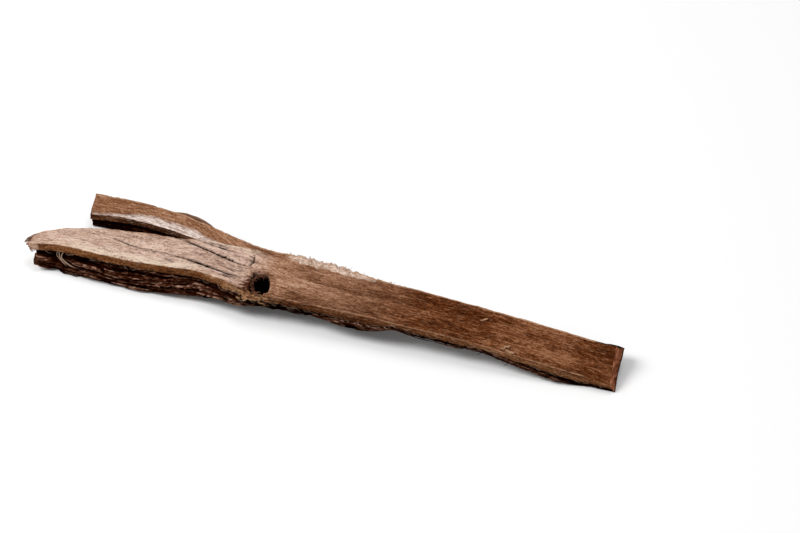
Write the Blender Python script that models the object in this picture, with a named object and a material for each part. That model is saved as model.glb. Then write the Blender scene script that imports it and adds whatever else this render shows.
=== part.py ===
"""A forked strip of Indian almond bark, as peeled and dried, lying on its rough outer side.

The smooth inner side is up. At the right the strip is sawn off, at the left it splits into two arms: the far arm is
sawn off too, and the near arm, which keeps its thick shaggy outer bark, runs out in a torn tongue. A knot pit lies
where the near arm leaves the body. The whole strip grew as one piece, so it is one solid.

The frame: +X along the strip towards its sawn right end, +Y towards the far edge, +Z up. The origin is the bottom
centre of the strip's box. Blender's unit is the metre; the sizes below are in millimetres and are scaled once.
"""

import math
import random

import bmesh
import bpy
from mathutils import Matrix, Vector, noise

MM = 0.001

LEFT_TIP = -102.5
FORK = -50.0

# Plan lines, as (place along the strip, y): the two outer edges, and the two edges that the fork opens between.
NEAR_EDGE = [
    (-102.5, -17.2), (-98, -16.4), (-90, -15.4), (-78, -15.6), (-62, -15.2), (-50, -14.0), (-40, -12.6),
    (-30, -13.6), (-18, -16.2), (-4, -15.6), (11, -14.6), (25, -13.7), (40, -12.9), (59, -11.5), (83, -10.1),
    (102, -9.0),
]
NEAR_ARM_FAR_EDGE = [
    (-102.5, -15.0), (-100, -11.0), (-96, -8.4), (-90, -6.2), (-80, -3.4), (-66, -1.1), (-50, 0.8), (-38, 2.4),
    (-26, 2.8), (-10, 1.0), (10, -1.6), (102, -1.8),
]
FAR_ARM_NEAR_EDGE = [
    (-94, 7.4), (-80, 8.6), (-66, 7.6), (-50, 4.6), (-38, 3.9), (-26, 3.4), (-10, 1.5), (10, -1.2), (102, -1.4),
]
FAR_EDGE = [
    (-94, 17.6), (-78, 17.0), (-60, 14.6), (-42, 10.0), (-26, 5.9), (-12, 4.6), (3, 4.0), (18, 2.9), (39, 3.0),
    (59, 2.6), (83, 2.7), (102, 3.0),
]

# Heights of the upper, inner side along those four lines. Towards the right end the strip rolls to its near side.
TOP_NEAR = [
    (-102.5, 8.0), (-88, 9.4), (-66, 10.2), (-40, 10.5), (-16, 10.3), (11, 10.0), (25, 9.4), (42, 8.6), (59, 7.2),
    (74, 5.7), (83, 4.6), (94, 3.4), (102, 2.6),
]
TOP_NEAR_ARM_FAR = [
    (-102.5, 8.4), (-88, 10.0), (-66, 10.9), (-40, 11.2), (-26, 11.2), (0, 11.3), (20, 11.2), (42, 10.5),
    (60, 9.5), (83, 7.6), (102, 5.7),
]
TOP_FAR_ARM_NEAR = [
    (-94, 5.7), (-80, 6.8), (-66, 7.8), (-50, 9.0), (-38, 9.7), (-26, 10.7), (0, 11.4), (20, 11.3), (42, 10.6),
    (60, 9.6), (83, 7.7), (102, 5.8),
]
TOP_FAR = [
    (-94, 7.3), (-75, 8.9), (-60, 9.9), (-42, 10.6), (-26, 11.3), (-8, 12.2), (18, 12.1), (39, 11.7), (59, 11.0),
    (73, 10.2), (83, 9.4), (93, 8.6), (102, 8.0),
]

# Heights of the lower, outer side. Below zero is cut off flat, which leaves the three feet that the strip rests on.
BOTTOM_NEAR = [
    (-102.5, 1.6), (-86, 0.2), (-72, -1.3), (-58, -0.2), (-42, 1.6), (-20, 3.3), (4, 4.4), (20, 5.2), (30, 6.2),
    (40, 6.2), (52, 5.2), (62, 3.9), (72, 1.9), (84, -0.4), (92, -1.6), (102, -1.8),
]
BOTTOM_NEAR_ARM_FAR = [
    (-102.5, 3.2), (-86, 1.6), (-70, 0.2), (-54, 1.0), (-38, 2.8), (-20, 4.2), (4, 5.6), (26, 6.0), (46, 5.2),
    (62, 4.0), (83, 2.6), (102, 1.8),
]
BOTTOM_FAR_ARM_NEAR = [
    (-94, -1.3), (-87, -1.2), (-78, 0.4), (-66, 1.8), (-50, 3.2), (-38, 4.2), (-20, 5.2), (4, 5.8), (26, 6.1),
    (46, 5.3), (62, 4.1), (83, 2.7), (102, 1.9),
]
BOTTOM_FAR = [
    (-94, -1.2), (-87, -1.0), (-78, 1.2), (-60, 3.4), (-40, 4.9), (-20, 5.8), (4, 6.9), (26, 6.9), (46, 6.5),
    (62, 6.0), (83, 5.0), (102, 4.2),
]

# The ends of the upper side: the far arm's cut, and the sawn right end, whose cut leans out below.
FAR_ARM_CUT = (-90.8, -93.3)
SAWN_NEAR = 99.7
SAWN_FAR = 97.9
SAWN_LEAN = 2.2
SEAM_SHARE = 0.62

# Cells of the sheet that the strip is shaped from.
CELLS_ARMS = 25
CELLS_BODY = 68
CELLS_NEAR_BAND = 10
CELLS_FAR_BAND = 6
CELLS_DEEP = 6

# The inner bark shows on every edge as a firm band. The outer bark below it is set back in a groove, then bulges out.
BAND_ON_ARM = 2.9
BAND_ON_BODY = 2.3
BAND_SLOPE = 0.8
GROOVE_BELOW = 0.8
GROOVE = 1.1
EDGE_REACH = 2.6
THICK_EDGE = 5.5
THINNEST = 1.6
EDGE_ROUND = 0.45

# Drying cracks in the upper side, each a line of (place along the strip, y), with its half width and depth.
CRACKS = [
    ([(-56, 1.4), (-43, -1.3), (-35, -3.1), (-25.4, -5.0)], 0.45, 1.7),
    ([(-77, -6.4), (-64, -8.3), (-56, -8.2), (-47, -8.1)], 0.35, 1.3),
    ([(-50, -8.3), (-43, -8.8), (-36, -9.6), (-22.5, -11.0)], 0.4, 1.4),
    ([(-45, 1.5), (-37, 0.8), (-29, 0.5)], 0.3, 1.1),
    ([(-52, 2.9), (-42, 3.4), (-32, 3.2), (-21, 2.4)], 0.4, 1.6),
    ([(-25.6, 1.6), (-24.2, -1.8), (-24.8, -5.6)], 0.3, 1.1),
]
CRACK_STEPS = 9
CRACK_CLEARANCE = 1.2

# The pale crumbly rim on the far edge, just right of the fork.
RIM_START = -18.0
RIM_PEAK = -8.0
RIM_END = 22.0
RIM_HEIGHT = 0.9
RIM_WIDTH = 3.6

KNOT_CENTRE = (-17.2, -11.6)
KNOT_HALF_LENGTH = 3.0
KNOT_HALF_WIDTH = 4.2
KNOT_FLOOR = 4.6
KNOT_CLEAR = 14.0
KNOT_SIDES = 18

SLIVER_START = (-65.0, 15.2)
SLIVER_END = (-41.0, 9.4)
SLIVER_BOW = 2.2
SLIVER_THICKNESS = 1.0
SLIVER_STEPS = 8

STRAND_THICKNESS = 0.9
STRANDS = [
    [(-89.0, -14.2, 7.4), (-87.4, -17.4, 5.8), (-85.0, -18.0, 3.4), (-83.2, -15.6, 2.0)],
    [(-84.6, -14.2, 7.4), (-83.0, -17.2, 5.2), (-80.6, -18.0, 3.6), (-78.0, -15.6, 2.4)],
]

SPLINTERS_FAR_RIM = 12
SPLINTERS_TONGUE = 9
SPLINTERS_NEAR_EDGE = 12
SPLINTERS_UNDER = 8
SPLINTER_SIDES = 3
SPLINTER_WIDTH = 0.9

BARK_COLOUR = (0.27, 0.135, 0.085, 1.0)
BARK_ROUGHNESS = 0.82


def clear_scene():
    """Remove whatever the scene holds."""
    for thing in list(bpy.data.objects):
        bpy.data.objects.remove(thing)


def smooth_step(low, high, value):
    """0 below low, 1 above high, and an even S curve between them."""
    share = min(max((value - low) / (high - low), 0.0), 1.0)
    return share * share * (3 - 2 * share)


def along(line, place):
    """The height or y of a line at a place along the strip: a smooth curve through the line's points."""
    place = min(max(place, line[0][0]), line[-1][0])
    index = 0
    while index < len(line) - 2 and place > line[index + 1][0]:
        index += 1

    def slope(at):
        before = line[max(at - 1, 0)]
        after = line[min(at + 1, len(line) - 1)]
        return (after[1] - before[1]) / (after[0] - before[0])

    (start, start_value), (end, end_value) = line[index], line[index + 1]
    span = end - start
    t = (place - start) / span
    return (
        (2 * t**3 - 3 * t**2 + 1) * start_value
        + (t**3 - 2 * t**2 + t) * span * slope(index)
        + (3 * t**2 - 2 * t**3) * end_value
        + (t**3 - t**2) * span * slope(index + 1)
    )


def mix(first, second, share):
    """The value that lies this share of the way from first to second."""
    return first + (second - first) * share


def wave(place, across, pitch_along, pitch_across, layer):
    """Smooth noise from about -1 to 1, drawn out along the grain. A layer is its own pattern."""
    return noise.noise(Vector((place / pitch_along, across / pitch_across, layer)))


def rim_height(place, y):
    """How far the crumbly rim stands up from the far edge at a point."""
    rise = smooth_step(RIM_START, RIM_PEAK, place) * (1 - smooth_step(RIM_PEAK, RIM_END, place))
    inward = along(FAR_EDGE, place) - y
    crumble = 0.75 + 0.5 * wave(place, y, 2.4, 1.6, 5.0)
    return RIM_HEIGHT * rise * crumble * (1 - smooth_step(0.4 * RIM_WIDTH, RIM_WIDTH, inward))


def inner_relief(place, y, on_near_arm):
    """Relief of the upper, inner side: long soft swells, fibre ridges and the rim."""
    ridges = mix(0.16, 0.34, on_near_arm) * wave(place, y, 34, 1.9, 3.1)
    swells = 0.4 * wave(place, y, 24, 9, 7.7)
    return ridges + swells + rim_height(place, y)


def outer_relief(place, y):
    """Relief of the lower, outer side: rough ridges along the grain, broken across by short checks."""
    furrows = abs(wave(place + 6 * wave(place, y, 20, 8, 11.0), y, 30, 3.4, 13.0))
    plates = wave(place, y, 7, 5, 17.0)
    return 0.9 - 3.2 * min(furrows, 0.5) + 0.5 * plates


def shagginess(place):
    """1 where the near edge keeps thick outer bark, on the near arm, and less along the body but for two patches."""
    first_patch = 0.35 * smooth_step(2, 12, place) * (1 - smooth_step(22, 34, place))
    second_patch = 0.5 * smooth_step(54, 66, place) * (1 - smooth_step(86, 96, place))
    return 1 - 0.9 * smooth_step(-38, -12, place) + first_patch + second_patch


def depth_of_row(row, thickness, shag):
    """How far below the upper side a row of cells lies on the strip's edges: the band, its groove, then the rest."""
    band = mix(BAND_ON_BODY, BAND_ON_ARM, shag)
    fixed = [0.0, 0.5 * band, band, band + GROOVE_BELOW]
    squeeze = min(1.0, 0.7 * thickness / fixed[-1])
    if row < len(fixed):
        return fixed[row] * squeeze
    return mix(fixed[-1] * squeeze, thickness, (row - len(fixed) + 1) / (CELLS_DEEP - len(fixed) + 1))


def edge_offset(place, row, shag, layer):
    """How far out an edge's surface stands at a row: the firm band, the groove below it, then the outer bark."""
    rough = wave(place, row * 2.3, 5.5, 1.7, layer)
    stringy = wave(place, row * 2.9, 19.0, 1.3, layer + 0.5)
    if row == 0:
        return -EDGE_ROUND + 0.2 * rough
    if row < 3:
        return BAND_SLOPE * shag * row / 2 + 0.25 * rough
    if row == 3:
        return -GROOVE + BAND_SLOPE * shag + 0.3 * rough
    lower = (row - 3) / (CELLS_DEEP - 3)
    bulge = mix(-0.4 - 0.9 * lower, 0.8 + 1.3 * lower, shag)
    return bulge + mix(0.2, 0.4, shag) * rough + mix(0.2, 1.1, shag) * stringy


def torn_end(y, row):
    """Where the near arm ends: an overhanging torn tongue of inner bark, with the outer bark broken off short."""
    slant = 2.0 * (1 - smooth_step(-17.4, -15.0, y))
    tongue = LEFT_TIP + slant + 1.4 * abs(wave(y, row, 0.9, 3.0, 31.0)) * smooth_step(-16.0, -13.0, y)
    broken = LEFT_TIP + 4.0 + 2.4 * abs(wave(y, row, 2.2, 1.4, 33.0))
    return tongue if row < 3 else broken


def sawn_end(across_strip, row):
    """Where the right end is sawn off: nearly square, leaning out a little below."""
    lean = SAWN_LEAN * row / CELLS_DEEP
    return mix(SAWN_NEAR, SAWN_FAR, across_strip) + lean - 0.12 * abs(wave(8 * across_strip, row, 1.1, 1.3, 35.0))


def cut_arm_end(across_arm, row):
    """Where the far arm is cut off, a little slantwise."""
    return mix(*FAR_ARM_CUT, across_arm) + 0.2 * wave(5 * across_arm, row, 1.4, 1.4, 37.0)


def place_of(share, near_band, across, row):
    """The place along the strip of a share of the sheet's length, from the arms' ends to the right end."""
    fork_share = CELLS_ARMS / (CELLS_ARMS + CELLS_BODY)
    if share < fork_share:
        y_at_tip = mix(NEAR_EDGE[0][1], NEAR_ARM_FAR_EDGE[1][1], across)
        end = torn_end(y_at_tip, row) if near_band else cut_arm_end(across, row)
        return mix(end, FORK, share / fork_share)
    across_strip = SEAM_SHARE * across if near_band else mix(SEAM_SHARE, 1.0, across)
    return mix(FORK, sawn_end(across_strip, row), (share - fork_share) / (1 - fork_share))


def lines_of(near_band):
    """The pairs of plan, upper and lower lines that bound the near band or the far band of the strip."""
    if near_band:
        return (NEAR_EDGE, NEAR_ARM_FAR_EDGE), (TOP_NEAR, TOP_NEAR_ARM_FAR), (BOTTOM_NEAR, BOTTOM_NEAR_ARM_FAR)
    return (FAR_ARM_NEAR_EDGE, FAR_EDGE), (TOP_FAR_ARM_NEAR, TOP_FAR), (BOTTOM_FAR_ARM_NEAR, BOTTOM_FAR)


def upper_height(place, y, near_band):
    """The height of the upper side at a point of one of the two bands."""
    plan, top, _ = lines_of(near_band)
    near_y, far_y = along(plan[0], place), along(plan[1], place)
    on_near_arm = (1 - smooth_step(-30, -14, place)) if near_band else 0.0
    flat = mix(along(top[0], place), along(top[1], place), (y - near_y) / (far_y - near_y))
    return flat + inner_relief(place, y, on_near_arm)


def bark_point(share, column, row):
    """The strip's point for one vertex of the sheet: its share of the length, its column and its row in depth."""
    near_band = column <= CELLS_NEAR_BAND
    across = column / CELLS_NEAR_BAND if near_band else (column - CELLS_NEAR_BAND - 1) / CELLS_FAR_BAND
    plan, _, bottom = lines_of(near_band)
    place = place_of(share, near_band, across, row)
    near_y, far_y = along(plan[0], place), along(plan[1], place)
    y = mix(near_y, far_y, across)

    upper = upper_height(place, y, near_band)
    lower = mix(along(bottom[0], place), along(bottom[1], place), across) + outer_relief(place, y)
    lower = max(min(lower, upper - THINNEST), 0.0)

    near_weight = 1 - smooth_step(0, EDGE_REACH, y - near_y)
    far_weight = 1 - smooth_step(0, EDGE_REACH, far_y - y)
    fork_open = 1 - smooth_step(FORK - 4, FORK + 4, place)
    shag = shagginess(place) if near_band else 0.0
    height = upper - depth_of_row(row, upper - lower, shag * near_weight)
    slim = min(1.0, (upper - lower) / THICK_EDGE)
    if near_band:
        y -= slim * near_weight * edge_offset(place, row, shag, 41.0)
        y += slim * far_weight * edge_offset(place, row, 0.5, 43.0) * fork_open
    else:
        y -= slim * near_weight * edge_offset(place, row, 0.1, 45.0) * fork_open
        y += slim * far_weight * edge_offset(place, row, 0.1, 47.0)
    return Vector((place, y, height))


def bark_sheet():
    """A flat sheet of cells one unit thick, with the fork's column of cells left out, as a closed mesh."""
    columns = CELLS_NEAR_BAND + 1 + CELLS_FAR_BAND
    lengths = CELLS_ARMS + CELLS_BODY
    sheet = bmesh.new()
    bmesh.ops.create_grid(sheet, x_segments=lengths, y_segments=columns, size=0.5)
    fork_share = CELLS_ARMS / lengths
    fork_faces = [
        face for face in sheet.faces
        if face.calc_center_median().x + 0.5 < fork_share
        and int((face.calc_center_median().y + 0.5) * columns) == CELLS_NEAR_BAND
    ]
    bmesh.ops.delete(sheet, geom=fork_faces, context="FACES")
    bmesh.ops.solidify(sheet, geom=sheet.faces[:], thickness=1.0)
    upright = [edge for edge in sheet.edges if abs(edge.verts[0].co.z - edge.verts[1].co.z) > 0.5]
    bmesh.ops.subdivide_edges(sheet, edges=upright, cuts=CELLS_DEEP - 1, use_grid_fill=True)
    return sheet


def shape_strip():
    """The strip's own solid: the sheet with each vertex moved to its place on the bark."""
    sheet = bark_sheet()
    columns = CELLS_NEAR_BAND + 1 + CELLS_FAR_BAND
    highest = max(vertex.co.z for vertex in sheet.verts)
    for vertex in sheet.verts:
        share = vertex.co.x + 0.5
        column = round((vertex.co.y + 0.5) * columns)
        row = round((highest - vertex.co.z) * CELLS_DEEP)
        vertex.co = bark_point(share, column, row) * MM
    bmesh.ops.triangulate(sheet, faces=sheet.faces[:])
    bmesh.ops.recalc_face_normals(sheet, faces=sheet.faces[:])
    return sheet


def add_object(name, mesh_data, material=None):
    """A mesh object from a bmesh, which is freed."""
    mesh = bpy.data.meshes.new(name)
    mesh_data.to_mesh(mesh)
    mesh_data.free()
    made = bpy.data.objects.new(name, mesh)
    bpy.context.scene.collection.objects.link(made)
    if material:
        mesh.materials.append(material)
    return made


def knot_cutter():
    """The knot pit's own shape: an uneven tapered plug, narrow at its floor and flared at its lip."""
    plug = bmesh.new()
    bmesh.ops.create_cone(
        plug, cap_ends=True, segments=KNOT_SIDES, radius1=0.72, radius2=1.0, depth=KNOT_CLEAR - KNOT_FLOOR,
        matrix=Matrix.Translation((0, 0, (KNOT_CLEAR + KNOT_FLOOR) / 2)),
    )
    for vertex in plug.verts:
        angle = math.atan2(vertex.co.y, vertex.co.x)
        ragged = 1 + 0.13 * noise.noise(Vector((2 * math.cos(angle), 2 * math.sin(angle), 51.0)))
        vertex.co.x = KNOT_CENTRE[0] + vertex.co.x * KNOT_HALF_LENGTH * ragged
        vertex.co.y = KNOT_CENTRE[1] + vertex.co.y * KNOT_HALF_WIDTH * ragged
        vertex.co *= MM
    return add_object("knot_plug", plug)


def point_on(path, share):
    """The point that lies this share of the way along a path, which may be a little outside it."""
    whole = share * (len(path) - 1)
    index = min(max(int(whole), 0), len(path) - 2)
    return Vector(path[index]).lerp(Vector(path[index + 1]), whole - index)


def crack_cutter(name, path, half_width, depth):
    """The shape of one drying crack: a wedge along its line, deep in the middle and running out at both ends."""
    wedge = bmesh.new()
    rings = []
    for step in range(CRACK_STEPS + 1):
        share = step / CRACK_STEPS
        centre = point_on(path, share)
        ahead = (point_on(path, share + 0.05) - point_on(path, share - 0.05)).normalized()
        side = Vector((-ahead.y, ahead.x))
        centre += side * 0.3 * wave(centre.x, centre.y, 3.0, 2.0, depth * 19)
        fullness = math.sin(math.pi * share) ** 0.6
        reach = half_width * mix(0.3, 1.0, fullness) * (depth + CRACK_CLEARANCE) / depth
        surface = upper_height(centre.x, centre.y, True)
        corners = [
            (*(centre - side * reach), surface + CRACK_CLEARANCE),
            (*(centre + side * reach), surface + CRACK_CLEARANCE),
            (*centre, surface - mix(-0.5, depth, fullness)),
        ]
        rings.append([wedge.verts.new(Vector(corner) * MM) for corner in corners])
    for behind, following in zip(rings, rings[1:]):
        for corner in range(3):
            other = (corner + 1) % 3
            wedge.faces.new((behind[corner], behind[other], following[other], following[corner]))
    wedge.faces.new(reversed(rings[0]))
    wedge.faces.new(rings[-1])
    bmesh.ops.triangulate(wedge, faces=wedge.faces[:])
    bmesh.ops.recalc_face_normals(wedge, faces=wedge.faces[:])
    return add_object(name, wedge)


def tapered_run(points, thicknesses, sides=4):
    """A slim closed run through a few points, with a thickness at each: a skin of rings between two capped ends."""
    run = bmesh.new()
    rings = []
    for index, (point, thickness) in enumerate(zip(points, thicknesses)):
        ahead = Vector(points[min(index + 1, len(points) - 1)]) - Vector(points[max(index - 1, 0)])
        turn = ahead.to_track_quat("Z", "Y").to_matrix().to_4x4()
        made = bmesh.ops.create_circle(
            run, segments=sides, radius=thickness / 2, matrix=Matrix.Translation(Vector(point)) @ turn
        )
        rings.append(made["verts"])
    for lower, upper in zip(rings, rings[1:]):
        for side in range(sides):
            following = (side + 1) % sides
            run.faces.new((lower[side], lower[following], upper[following], upper[side]))
    run.faces.new(reversed(rings[0]))
    run.faces.new(rings[-1])
    bmesh.ops.scale(run, vec=(MM, MM, MM), verts=run.verts[:])
    bmesh.ops.triangulate(run, faces=run.faces[:])
    bmesh.ops.recalc_face_normals(run, faces=run.faces[:])
    return run


def sliver():
    """The thin sliver that has sprung a little away from the far arm's edge, still fast at both ends."""
    points, thicknesses = [], []
    for step in range(SLIVER_STEPS + 1):
        share = step / SLIVER_STEPS
        place = mix(SLIVER_START[0], SLIVER_END[0], share)
        bow = SLIVER_BOW * math.sin(math.pi * share)
        points.append((place, mix(SLIVER_START[1], SLIVER_END[1], share) + bow - 0.4, along(TOP_FAR, place) - 1.3))
        thicknesses.append(mix(1.0, 1.3, math.sin(math.pi * share)) * SLIVER_THICKNESS)
    return add_object("sliver", tapered_run(points, thicknesses))


def strands():
    """Loose bast strands that hang from the near arm's band and go back into its outer bark."""
    return [
        add_object(f"strand_{number}", tapered_run(points, [STRAND_THICKNESS] * len(points)))
        for number, points in enumerate(STRANDS)
    ]


def splinter(name, root, tip, width):
    """A three-sided splinter, broad where it is sunk in the bark and sharp at its tip."""
    needle = bmesh.new()
    direction = Vector(tip) - Vector(root)
    turn = direction.to_track_quat("Z", "Y").to_matrix().to_4x4()
    bmesh.ops.create_cone(
        needle, cap_ends=True, segments=SPLINTER_SIDES, radius1=width / 2, radius2=0.0, depth=direction.length,
        matrix=Matrix.Translation((Vector(root) + Vector(tip)) / 2) @ turn,
    )
    bmesh.ops.remove_doubles(needle, verts=needle.verts[:], dist=1e-4)
    bmesh.ops.scale(needle, vec=(MM, MM, MM), verts=needle.verts[:])
    return add_object(name, needle)


def splinters():
    """Splinters on the crumbly rim, the torn tongue, the near edge and the under side, each along the grain."""
    draw = random.Random(7)
    made = []
    for number in range(SPLINTERS_FAR_RIM):
        place = mix(RIM_START + 2, RIM_END - 4, (number + draw.random()) / SPLINTERS_FAR_RIM)
        root = Vector((place, along(FAR_EDGE, place) - 1.4, along(TOP_FAR, place) - 0.9))
        lean = Vector((draw.uniform(-2.6, 2.6), draw.uniform(1.2, 2.6), draw.uniform(0.8, 2.4)))
        made.append(splinter(f"rim_splinter_{number}", root, root + lean, SPLINTER_WIDTH))
    for number in range(SPLINTERS_TONGUE):
        y = mix(-16.6, -9.6, (number + draw.random()) / SPLINTERS_TONGUE)
        root = Vector((LEFT_TIP + 7.0, y, along(TOP_NEAR, LEFT_TIP + 4) - draw.uniform(1.2, 5.0)))
        lean = Vector((-draw.uniform(4.0, 6.2), draw.uniform(-0.5, 0.5), draw.uniform(-0.4, 0.5)))
        made.append(splinter(f"tongue_splinter_{number}", root, root + lean, SPLINTER_WIDTH))
    for number in range(SPLINTERS_NEAR_EDGE):
        place = mix(-8, 92, (number + draw.random()) / SPLINTERS_NEAR_EDGE)
        root = Vector((place, along(NEAR_EDGE, place) + 1.3, along(TOP_NEAR, place) - 1.8))
        run = draw.choice((-1, 1)) * draw.uniform(4.0, 6.0)
        lean = Vector((run, -draw.uniform(1.3, 2.3), draw.uniform(-1.4, 0.0)))
        made.append(splinter(f"edge_splinter_{number}", root, root + lean, SPLINTER_WIDTH))
    for number in range(SPLINTERS_UNDER):
        place = mix(14, 78, (number + draw.random()) / SPLINTERS_UNDER)
        root = Vector((place, along(NEAR_EDGE, place) + 2.6, along(BOTTOM_NEAR, place) + 2.2))
        lean = Vector((draw.uniform(-3.5, 3.5), -draw.uniform(2.4, 3.4), -draw.uniform(0.8, 1.8)))
        made.append(splinter(f"under_splinter_{number}", root, root + lean, SPLINTER_WIDTH))
    return made


def use_boolean(target, operation, tools):
    """One exact Boolean between the strip and a collection of small pieces, which is then emptied."""
    group = bpy.data.collections.new("tools")
    for tool in tools:
        group.objects.link(tool)
    modifier = target.modifiers.new(operation, "BOOLEAN")
    modifier.operation = operation
    modifier.solver = "EXACT"
    modifier.operand_type = "COLLECTION"
    modifier.collection = group
    graph = bpy.context.evaluated_depsgraph_get()
    target.data = bpy.data.meshes.new_from_object(target.evaluated_get(graph))
    target.modifiers.clear()
    for tool in tools:
        bpy.data.objects.remove(tool)
    bpy.data.collections.remove(group)


def sit_on_origin(target):
    """Move the mesh so that the origin is the bottom centre of its box."""
    points = [vertex.co for vertex in target.data.vertices]
    low = Vector([min(point[axis] for point in points) for axis in range(3)])
    high = Vector([max(point[axis] for point in points) for axis in range(3)])
    target.data.transform(Matrix.Translation((-(low.x + high.x) / 2, -(low.y + high.y) / 2, -low.z)))


def bark_material():
    """Dry red-brown bark."""
    material = bpy.data.materials.new("bark")
    material.use_nodes = True
    shader = material.node_tree.nodes["Principled BSDF"]
    shader.inputs["Base Color"].default_value = BARK_COLOUR
    shader.inputs["Roughness"].default_value = BARK_ROUGHNESS
    shader.inputs["Metallic"].default_value = 0.0
    return material


def main():
    """Shape the strip, cut its knot pit and cracks, then fuse the sliver, strands and splinters to it."""
    clear_scene()
    strip = add_object("bark_strip", shape_strip(), bark_material())
    cracks = [crack_cutter(f"crack_{number}", *crack) for number, crack in enumerate(CRACKS)]
    use_boolean(strip, "DIFFERENCE", [knot_cutter(), *cracks])
    use_boolean(strip, "UNION", [sliver(), *strands(), *splinters()])
    sit_on_origin(strip)
    strip.data.shade_smooth()
    strip.data.set_sharp_from_angle(angle=math.radians(38))


main()
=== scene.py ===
"""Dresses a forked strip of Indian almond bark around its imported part.

The strip's solid is made again here from the same plan and height lines, with many more cells, so that its
fibre ridges, drying cracks, torn tongue and shaggy outer bark are real shape. Fibres, strands, flakes, chips
and a sprung sliver are pieces of their own. All sizes in the classes below are millimetres, in the frame of the
part's source: x, called place, runs along the strip, y across it and z up. A mesh is scaled to metres once, when
it is placed.
"""

from __future__ import annotations

import functools
import logging
import math
import random
from dataclasses import dataclass, field
from enum import Enum
from typing import Any, Iterable, Sequence

import bmesh
import bpy
from bmesh.types import BMesh
from bpy.types import Material, Node, NodeSocket, NodeTree, Object
from mathutils import Matrix, Vector, noise

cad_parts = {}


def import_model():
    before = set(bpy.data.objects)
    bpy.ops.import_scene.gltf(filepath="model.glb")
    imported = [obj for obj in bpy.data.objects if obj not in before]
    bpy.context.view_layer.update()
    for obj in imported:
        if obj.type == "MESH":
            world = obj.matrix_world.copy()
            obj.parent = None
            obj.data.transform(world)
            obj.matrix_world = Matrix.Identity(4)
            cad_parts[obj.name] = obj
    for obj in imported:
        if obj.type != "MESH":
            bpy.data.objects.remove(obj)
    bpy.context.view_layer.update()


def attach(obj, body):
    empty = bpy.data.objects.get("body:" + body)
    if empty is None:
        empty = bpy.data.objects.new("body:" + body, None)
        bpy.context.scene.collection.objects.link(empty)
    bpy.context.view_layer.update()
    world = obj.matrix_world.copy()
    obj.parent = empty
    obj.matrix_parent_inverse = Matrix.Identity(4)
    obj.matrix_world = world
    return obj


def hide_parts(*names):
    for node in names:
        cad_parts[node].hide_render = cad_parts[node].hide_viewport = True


log = logging.getLogger("bark")

MM = 0.001
BODY = "root"
NODE = "bark_strip"
GRAIN = "grain"
TONE = "tone"

# The part's source moves its finished solid by this much, so that the origin is the bottom centre of its box.
SHIFT = Vector((0.2982, 0.7573, 0.0))

# How near the floor a loose fibre or flake may come.
FIBRE_FLOOR = 0.02
FLAKE_FLOOR = 0.05

Points = Sequence[tuple[float, float]]
Trail = Sequence[tuple[float, float, float]]
Rise = tuple[float, float]
Span = tuple[float, float, float, float]
Colour = tuple[float, float, float]
Ramp = tuple[tuple[float, Colour], ...]
Value = Any


def smooth_step(low: float, high: float, value: float) -> float:
    """0 below low, 1 above high, and an even S curve between them."""
    share = min(max((value - low) / (high - low), 0.0), 1.0)
    return share * share * (3 - 2 * share)


def mix(first: float, second: float, share: float) -> float:
    """The value that lies this share of the way from first to second."""
    return first + (second - first) * share


def wave(place: float, across: float, pitch_along: float, pitch_across: float, layer: float) -> float:
    """Smooth noise from about -1 to 1, drawn out along the grain.

    Args:
        place: Where along the strip.
        across: Where across it.
        pitch_along: How far apart the swells are along the strip.
        pitch_across: How far apart they are across it.
        layer: Which pattern it is. The number only tells the patterns apart.

    Returns:
        The noise at that point.
    """
    return noise.noise(Vector((place / pitch_along, across / pitch_across, layer)))


def hump(value: float, start: float, top_start: float, top_end: float, end: float) -> float:
    """1 between the two tops, falling smoothly to 0 at start and at end."""
    return smooth_step(start, top_start, value) * (1 - smooth_step(top_end, end, value))


def ridge_line(value: float, half_width: float) -> float:
    """1 where the value is 0, falling straight to 0 at half the width on both sides."""
    return max(1 - abs(value) / half_width, 0.0)


def rounded(share: float) -> float:
    """0 at both ends of a share and 1 in its middle, full for most of the way."""
    return max(math.sin(math.pi * share), 0.0) ** 0.6


class Line:
    """A smooth curve of y or of height along the strip."""

    STEP = 0.25

    def __init__(self, points: Points) -> None:
        """Sample the curve finely, so that reading it is quick.

        Args:
            points: The points that it passes through.
        """
        self.points = points
        self.start = points[0][0]
        count = int((points[-1][0] - self.start) / self.STEP) + 2
        self.samples = [self.curve(self.start + index * self.STEP) for index in range(count)]

    def curve(self, place: float) -> float:
        """The exact curve: cubic pieces whose slope at a point follows from the points on both sides.

        Args:
            place: Where along the strip.

        Returns:
            The curve's value there.
        """
        line = self.points
        place = min(max(place, line[0][0]), line[-1][0])
        index = sum(place > point[0] for point in line[1:-1])
        (start, start_value), (end, end_value) = line[index], line[index + 1]
        span = end - start
        t = (place - start) / span
        return (
            (2 * t**3 - 3 * t**2 + 1) * start_value
            + (t**3 - 2 * t**2 + t) * span * self.slope(index)
            + (3 * t**2 - 2 * t**3) * end_value
            + (t**3 - t**2) * span * self.slope(index + 1)
        )

    def slope(self, index: int) -> float:
        """The curve's slope at one of its points."""
        before, after = self.points[max(index - 1, 0)], self.points[min(index + 1, len(self.points) - 1)]
        return (after[1] - before[1]) / (after[0] - before[0])

    def at(self, place: float) -> float:
        """The curve's value at a place along the strip."""
        steps = min(max((place - self.start) / self.STEP, 0.0), len(self.samples) - 1.001)
        return mix(self.samples[int(steps)], self.samples[int(steps) + 1], steps % 1)


class Side(Enum):
    """The two bands of the strip, which the fork parts into two arms."""

    NEAR = "near"
    FAR = "far"


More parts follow.
